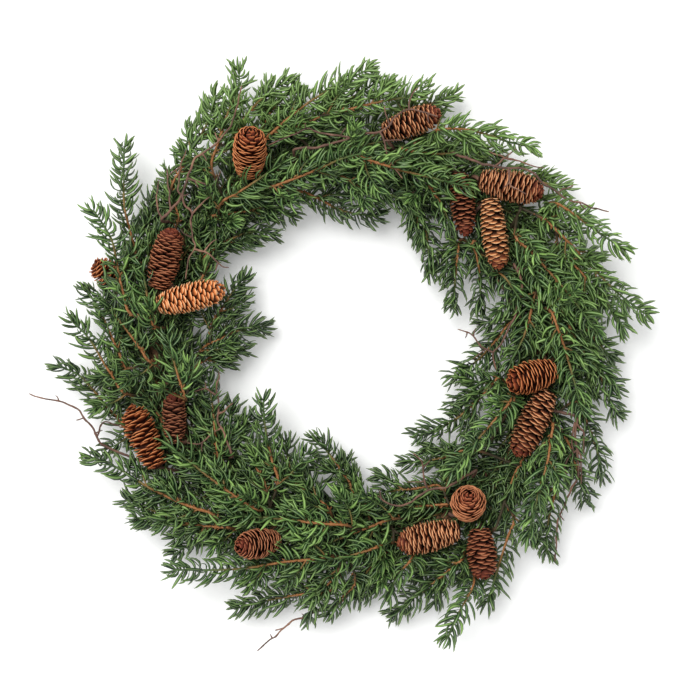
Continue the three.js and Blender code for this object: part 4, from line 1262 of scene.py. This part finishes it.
def scale_faces():
    m, n = len(ALONG), len(ACROSS)
    top = np.arange(m * n).reshape(m, n)
    under = top + m * n
    faces = []
    for j in range(m - 1):
        for i in range(n - 1):
            faces.append([top[j, i], top[j, i + 1], top[j + 1, i + 1], top[j + 1, i]])
            faces.append([under[j, i], under[j + 1, i], under[j + 1, i + 1], under[j, i + 1]])
        faces.append([top[j, 0], top[j + 1, 0], under[j + 1, 0], under[j, 0]])
        faces.append([top[j, -1], under[j, -1], under[j + 1, -1], top[j + 1, -1]])
    for i in range(n - 1):
        faces.append([top[0, i], under[0, i], under[0, i + 1], top[0, i + 1]])
        faces.append([top[-1, i], top[-1, i + 1], under[-1, i + 1], under[-1, i]])
    return np.array(faces)


SCALE_FACES = scale_faces()
print("corners of a scale:", 2 * len(ALONG) * len(ACROSS), "faces:", len(SCALE_FACES))

# %% [markdown]
# Each cone has its own state: how open it is, how large its scales are, how broad and how ragged,
# and from which share of its length the tip is a dome. The scales crowd where the cone is slim. An
# open scale stands out from the axis, so its edge shows as a thin crescent. A shut one lies along
# the surface. The middle line of a scale is worked out for both, as a distance from the axis and a
# height along it, and the two are mixed.

# %% Where the scales of a cone sit
USUAL = {"opening": 0.85, "area": 42.0, "broad": 1.0, "ragged": 0.02, "dome": 0.8, "tone": "brown"}
STATES = {
    1: {"opening": 0.45, "area": 38.0, "tone": "russet"},
    2: {"opening": 0.7, "area": 37.0, "broad": 1.2, "tone": "dark"},
    3: {"opening": 0.6, "area": 40.0, "broad": 0.9, "tone": "light"},
    4: {"opening": 1.0, "ragged": 0.1, "tone": "russet"},
    6: {"area": 45.0, "broad": 1.2},
    7: {"tone": "dark"},
    8: {"opening": 0.55, "area": 52.0, "broad": 1.1, "tone": "tan"},
    9: {"opening": 0.7, "area": 50.0, "ragged": 0.05, "tone": "russet"},
    10: {"opening": 0.6, "area": 50.0},
    11: {"opening": 0.12, "area": 40.0, "broad": 1.12, "ragged": 0.03, "dome": 0.4, "tone": "bud"},
    12: {"broad": 1.2},
    13: {"opening": 0.7, "tone": "dark"},
    14: {"opening": 0.6, "area": 36.0, "broad": 1.15, "dome": 0.7, "tone": "dark"},
    15: {"opening": 1.0, "area": 50.0, "ragged": 0.12, "tone": "russet"},
    16: {"opening": 0.65, "area": 31.0, "broad": 1.25, "tone": "deep"},
}
SHUT_LENGTH = 9.5
SHUT_DEPTH = 2.4
SHUT_PROUD = 0.3
OPEN_DROP = 4.2
WIDEST_SCALE = 6.5
CLOSEST = 0.25
PLACE_JITTER = 0.45
TURN_JITTER = 0.1
SLIMMEST_LIP = 0.06


def scale_seats(area, broad, ragged, half, surface):
    """Place on the surface, angle, lip radius, lip height and width of every scale."""
    arc, radii, heights = surface
    round_there = (radii[1:] + radii[:-1]) / 2
    crowding = (0.35 + 0.65 * round_there / half) ** -1.2
    covered = np.append(0, np.cumsum(np.diff(arc) * 2 * math.pi * round_there * crowding))
    count = int(covered[-1] / area)
    at = np.interp((np.arange(count) + 0.5) / count, covered / covered[-1], arc)
    at = np.clip(at + rng.normal(0, PLACE_JITTER, count), 0.5, arc[-1])
    angle = np.arange(count) * GOLDEN + rng.normal(0, TURN_JITTER, count)
    lip = np.maximum(np.interp(at, arc, radii), half * SLIMMEST_LIP)
    lip = lip * rng.uniform(0.95 - ragged, 1.03 + ragged * 0.5, count)
    width = np.clip(lip * 0.28 + 1.3, 1.5 + ragged * 22, WIDEST_SCALE)
    width = width * broad * (area / USUAL["area"]) ** 0.4 * rng.uniform(0.8, 1.3, count)
    return at, angle, lip, np.interp(at, arc, heights), width


def slope_of(radius, height):
    """The way from root to lip of every scale: its parts away from the axis and along it."""
    slope = np.stack([np.gradient(radius, axis=1), np.gradient(height, axis=1)])
    return slope / np.maximum(np.linalg.norm(slope, axis=0), 1e-6)


def scale_middles(at, lip, lip_height, half, opening, surface):
    """Distance from the axis and height of the middle line of every scale; opening is its own."""
    arc, radii, heights = surface
    s = ALONG[None, :]
    grown = (0.4 + 0.6 * lip / half)[:, None]
    shut_at = at[:, None] - (1 - s) * np.minimum(SHUT_LENGTH * grown, at[:, None])
    depth = (SHUT_DEPTH * (1 - s) - SHUT_PROUD) * grown
    shut_radius = np.interp(shut_at, arc, radii)
    shut_height = np.interp(shut_at, arc, heights)
    slope = slope_of(shut_radius, shut_height)
    shut_radius, shut_height = shut_radius - slope[1] * depth, shut_height + slope[0] * depth
    drop = OPEN_DROP * (0.5 + 0.5 * lip / half)[:, None]
    open_radius = lip[:, None] * (0.3 + 0.7 * s)
    open_height = lip_height[:, None] - drop * (1 - s ** 1.3)
    mix = opening[:, None]
    radius = np.maximum(mix * open_radius + (1 - mix) * shut_radius, CLOSEST)
    return radius, mix * open_height + (1 - mix) * shut_height


# %% [markdown]
# Near the tip the scales are nearly shut, unless the cone is ragged. Around its middle line a scale
# is a fan that wraps the axis. Its sides droop, it tilts a little, and its lip stands in or out by
# chance. The two grids of corners are this fan moved in and out by half of its thickness.

# %% The scales, bent round the axis
CLOSING_SHARE = 0.3
TIGHTEST = 2.2


def cone_scales(cone, area, opening, broad, ragged, dome):
    """The scales of a cone, one for each area in mm2; opening 0 is shut tight and 1 is wide open."""
    base, tip, length = cone_axis(cone)
    axis = (tip - base) / length
    first = unit(np.cross(axis, [0.3, 0.2, 1.0]))
    second = np.cross(axis, first)
    half = cone["width"] / 2
    surface = cone_surface(cone, dome)
    at, angle, lip, lip_height, width = scale_seats(area, broad, ragged, half, surface)
    count = len(at)
    share = np.clip(lip_height / length, 0, 1)
    least_open = min(0.12 + ragged * 5, 0.8)
    opening = opening * np.clip((1 - share) / CLOSING_SHARE, least_open, 1) ** 0.7
    middles = scale_middles(at, lip, lip_height, half, opening, surface)
    slope = slope_of(*middles)[..., None]
    radius, height = (values[..., None] for values in middles)
    y, s = ACROSS[None, None, :], ALONG[None, :, None]
    width, opening = width[:, None, None], opening[:, None, None]
    radius = radius - y ** 2 * 0.5 * s
    tilt, lift = rng.normal(0, 1, (2, count, 1, 1))
    droop = (0.2 * width * y ** 2 + 0.4 * tilt * y) * s ** 3
    droop = droop + rng.normal(0, 0.24, (count, 1, len(ACROSS))) * s ** 3
    lean = (0.35 + ragged * 8) * lift * s - droop
    radius = radius + lean * slope[0] * (1 - opening)
    height = height + lean * np.maximum(slope[1], 0.5)
    around = angle[:, None, None] + y * FAN[None, :, None] * width / np.maximum(radius, TIGHTEST)
    thick = THICKNESS[None, :, None] * (1 - 0.55 * y ** 2) / 2
    thick = thick * np.minimum(1, lip / half + 0.3)[:, None, None]

    def grid(side):
        r, h = radius - side * thick * slope[1], height + side * thick * slope[0]
        corners = (base + h[..., None] * axis + (r * np.cos(around))[..., None] * first
                   + (r * np.sin(around))[..., None] * second)
        return corners.reshape(count, -1, 3)

    points = np.concatenate([grid(1), grid(-1)], 1)
    per = points.shape[1]
    faces = (SCALE_FACES + (np.arange(count) * per)[:, None, None]).reshape(-1, 4)
    v = np.tile(np.repeat(ALONG, len(ACROSS)), 2 * count)
    return points.reshape(-1, 3), [faces], np.column_stack([np.repeat(share, per), v]), 0


# %% [markdown]
# Under the scales a dark core keeps light from passing through, and a short stalk joins the cone to
# the vine it is wired to. The core has v 0 all over, so it takes the painted shade at the dark end of
# the cone's ramp.

# %% Sixteen cones
CORE_SHARES = np.linspace(0.02, 0.86, 14)
CORE_GIRTH = 0.5
CORE_SIDES = 10
CORE_AHEAD = 0.12
STALK_RADIUS = 2.0
STALK_SIDES = 8
STALK_STEP = 3


def grow_cone(number, cone):
    node_name = f"cone_{number:02d}"
    state = {**USUAL, **STATES.get(number, {})}
    finish = cone_finishes[state.pop("tone")]
    base, tip, _ = cone_axis(cone)
    scales = cone_scales(cone, **state)
    core_radii = (cone["width"] / 2 * CORE_GIRTH * cone_outline(CORE_SHARES)
                  * cone_dome(CORE_SHARES + CORE_AHEAD, state["dome"]))
    core = tube(base + CORE_SHARES[:, None] * (tip - base), core_radii, CORE_SIDES)
    # The core takes the painted shade at the dark end of the ramp.
    core[2][:] = 0.0
    stalk_line = smooth_line([*leads[node_name], base, base + (tip - base) * 0.1], STALK_STEP)
    stalk = tube(stalk_line, STALK_RADIUS, STALK_SIDES, kind=1)
    make_piece(node_name + "_scales", [scales, core, stalk], [finish, twig_bark],
               [node_name])
    return len(scales[1][0]) // len(SCALE_FACES)


print("scales:", sum(grow_cone(number, cone) for number, cone in enumerate(CONES, 1)))

# %% [markdown]
# ## Bare twigs
#
# Each twig is a forked branch with short spurs. A real twig changes direction a little where a leaf
# has been and is thicker there, so the line gets small kinks, and knots swell along it.

# %% Twigs with kinks and knots
MAIN_RADII = (1.55, 0.7)
FORK_RADII = (1.05, 0.55)
SPUR_RADII = (0.75, 0.5)
TWIG_SIDES = 7
KINK = 0.42
SWELL = 0.3
END_GIRTH = 0.55


def twig_tube(line, radii):
    """A thin branch with small kinks and swollen knots."""
    steady = smooth_line(line, SETTLE_STEP)
    steady[1:-1] += rng.normal(0, KINK, steady[1:-1].shape)
    kinked = smooth_line(steady, STEP)
    along = np.linspace(0, 1, len(kinked))
    knots = 1 + SWELL * np.maximum(0, np.sin(along * len(kinked) * 0.7 + rng.uniform(0, 6))) ** 8
    girth = (radii[0] + (radii[1] - radii[0]) * along) * knots
    girth = girth * (1 + rng.normal(0, 0.05, len(kinked)))
    girth[-1] *= END_GIRTH
    return tube(kinked, girth, TWIG_SIDES), kinked


def grow_twig(name, heights, main, forks, spurs):
    line = settle(main, *heights, name)
    shape, wood = twig_tube([*leads[name], *line[::2], line[-1]], MAIN_RADII)
    shapes = [shape]
    for radii, branches in ((FORK_RADII, forks), (SPUR_RADII, spurs)):
        for points in branches:
            branch = settle(points, *heights, name)
            start = wood[np.linalg.norm(wood[:, :2] - branch[0, :2], axis=1).argmin()]
            branch[:, 2] += (start[2] - branch[0, 2]) * np.linspace(1, 0.3, len(branch))
            shape, branch = twig_tube([start, *branch[1:]], radii)
            shapes.append(shape)
            wood = np.vstack([wood, branch])
    make_piece(name + "_bark", shapes, [twig_bark], [name])


for twig in TWIGS:
    grow_twig(**twig)
print("twigs:", len(TWIGS))

# %% [markdown]
# ## The ring and its wire
#
# The ring is three canes twisted round each other. Each cane here is four thinner vines, twisted
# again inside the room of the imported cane. What would pass under the flat side is pressed flat. A
# vine is a tube without ends, and its v runs from 0 to 1 and back, so the bark shows no seam.

# %% Three canes of four vines
CANE_OFFSET = 6.5
RING_TWISTS = 5
FIRST_CANE_ANGLE = 270
VINE_RADIUS = 3.6
VINE_OFFSET = 4.3
VINE_TWISTS = 17
VINE_SIDES = 7
RING_STEPS = 400
GROUND = 0.0


def radial_at(around):
    return np.stack([np.cos(around), np.sin(around), 0 * around], -1)


def wound(around, in_section, offset, turn, distance, girth, sides, lowest):
    """A vine wound at a distance round a line, which is itself wound at an offset round the ring."""
    out = RING_RADIUS + offset * np.cos(in_section)
    centre = RING_CENTRE + out[:, None] * radial_at(around) + (offset * np.sin(in_section))[:, None] * UP
    line = (centre + (distance * np.cos(turn))[:, None] * radial_at(around)
            + (distance * np.sin(turn))[:, None] * UP)
    tangents = unit(np.roll(line, -1, 0) - np.roll(line, 1, 0))
    outwards = (line - RING_CENTRE) * (1 - UP)
    normals = unit(outwards - tangents * (outwards * tangents).sum(1, keepdims=True))
    there_and_back = 1 - np.abs(np.linspace(-1, 1, len(line), endpoint=False))
    points, faces, uv = skin(line, normals, np.cross(tangents, normals), girth, sides, there_and_back)
    points[:, 2] = np.maximum(points[:, 2], lowest)
    return points, [faces.reshape(-1, 4)], uv, 0


around = np.linspace(0, 2 * math.pi, RING_STEPS, endpoint=False)
vines = []
for cane in range(3):
    cane_angle = math.radians(FIRST_CANE_ANGLE + 120 * cane) + RING_TWISTS * around
    for vine in range(4):
        turn = VINE_TWISTS * around + math.pi / 2 * vine + cane
        distance = VINE_OFFSET * (1 + 0.07 * np.sin(3 * around + vine * 2 + cane))
        bumps = 0.08 * np.sin(around * 11 + vine) + 0.05 * np.sin(around * 29 + cane)
        vines.append(wound(around, cane_angle, CANE_OFFSET, turn, distance, VINE_RADIUS * (1 + bumps),
                           VINE_SIDES, GROUND))
make_piece("vine_ring_bark", vines, [vine_bark], ["vine_ring"])
print("vines:", len(vines))

# %% [markdown]
# The wire that holds the canes lies in the groove between two of them. It is two thin painted
# strands twisted together, so the same function makes it.

# %% The binding wire
WIRE_OFFSET = 10.7
STRAND_RADIUS = 0.62
STRAND_OFFSET = 0.55
STRAND_TWISTS = 160
STRAND_SIDES = 4
STRAND_STEPS = 1280
STRAND_LIFT = 0.05
fine_round = np.linspace(0, 2 * math.pi, STRAND_STEPS, endpoint=False)
groove = math.radians(FIRST_CANE_ANGLE + 60) + RING_TWISTS * fine_round
strands = [wound(fine_round, groove, WIRE_OFFSET, STRAND_TWISTS * fine_round + math.pi * strand,
                 STRAND_OFFSET, STRAND_RADIUS, STRAND_SIDES, GROUND + STRAND_LIFT)
           for strand in range(2)]
make_piece("binding_wire_strands", strands, [painted_wire], ["binding_wire"])
print("strands:", len(strands))

# %% [markdown]
# ## Outward faces
#
# Faces made from arrays can end up facing inwards, which breaks bump and baking. Blender works out
# the outside of each closed island.

# %% Turn every face outwards
triangles = 0
for piece in bpy.context.scene.objects:
    if piece.type != "MESH" or piece.name in frame["nodes"]:
        continue
    grid = bmesh.new()
    grid.from_mesh(piece.data)
    bmesh.ops.recalc_face_normals(grid, faces=grid.faces)
    triangles += sum(len(face.verts) - 2 for face in grid.faces)
    grid.to_mesh(piece.data)
    grid.free()
print("triangles:", triangles)

# %% [markdown]
# ## Floor, light and camera
#
# The wreath lies flat and is seen from straight above on a pale floor, which is one large square
# just under it. The floor glows a little, so that it stays nearly white in the shade.

# %% The floor
FLOOR_HALF = 3.0
FLOOR_DROP = -0.0005
floor_mesh = bpy.data.meshes.new("floor")
floor_mesh.from_pydata([(x * FLOOR_HALF, y * FLOOR_HALF, FLOOR_DROP)
                        for x, y in ((-1, -1), (1, -1), (1, 1), (-1, 1))], [], [(0, 1, 2, 3)])
floor = add_object("floor", floor_mesh)
pale, shade = start_finish("pale_floor")
cloudy = shade.noise(3, 2)
shade.finish(Base_Color=cloudy.mix("#f4f4f2", "#f8f8f7"), Roughness=0.85 + cloudy * 0.1,
             Specular_IOR_Level=0.0, Emission_Color=(1, 1, 1, 1), Emission_Strength=0.12)
floor_mesh.materials.append(pale)
print("floor:", 2 * FLOOR_HALF, "m wide")

# %% [markdown]
# A wide soft sun from the upper left gives the faint shadows, and a bright even sky fills them. The
# sun's angle is its size in the sky, so a large one softens every edge.

# %% The light
SUN_POWER = 2.55
SUN_SIZE = 44
TO_SUN = (-0.46, 0.5, 1.22)
SKY_COLOUR = (0.975, 0.985, 1, 1)
SKY_POWER = 0.62
sun_data = bpy.data.lights.new("soft_sun", "SUN")
sun_data.energy = SUN_POWER
sun_data.angle = math.radians(SUN_SIZE)
sun = add_object("soft_sun", sun_data)
sun.rotation_euler = Vector(TO_SUN).to_track_quat("Z", "Y").to_euler()
world = bpy.data.worlds.new("studio")
world.use_nodes = True
sky = world.node_tree.nodes["Background"].inputs
sky["Color"].default_value, sky["Strength"].default_value = SKY_COLOUR, SKY_POWER
bpy.context.scene.world = world
bpy.context.scene.view_settings.view_transform = "Standard"
print("sun power:", SUN_POWER, "sky power:", SKY_POWER)

# %% [markdown]
# The camera hangs high above with a long lens, so the wreath is seen almost without perspective. Its
# distance follows from the width that it has to see.

# %% The camera
VIEW_WIDTH = 0.70
VIEW_MIDDLE = (0.009, 0.0035, 0.05)
camera_data = bpy.data.cameras.new("camera")
camera_data.lens = 100
camera_data.sensor_width = 36
camera = add_object("camera", camera_data)
distance = VIEW_WIDTH * camera_data.lens / camera_data.sensor_width
camera.location = (*VIEW_MIDDLE[:2], VIEW_MIDDLE[2] + distance)
bpy.context.scene.camera = camera
print("camera height:", round(camera.location.z, 3))
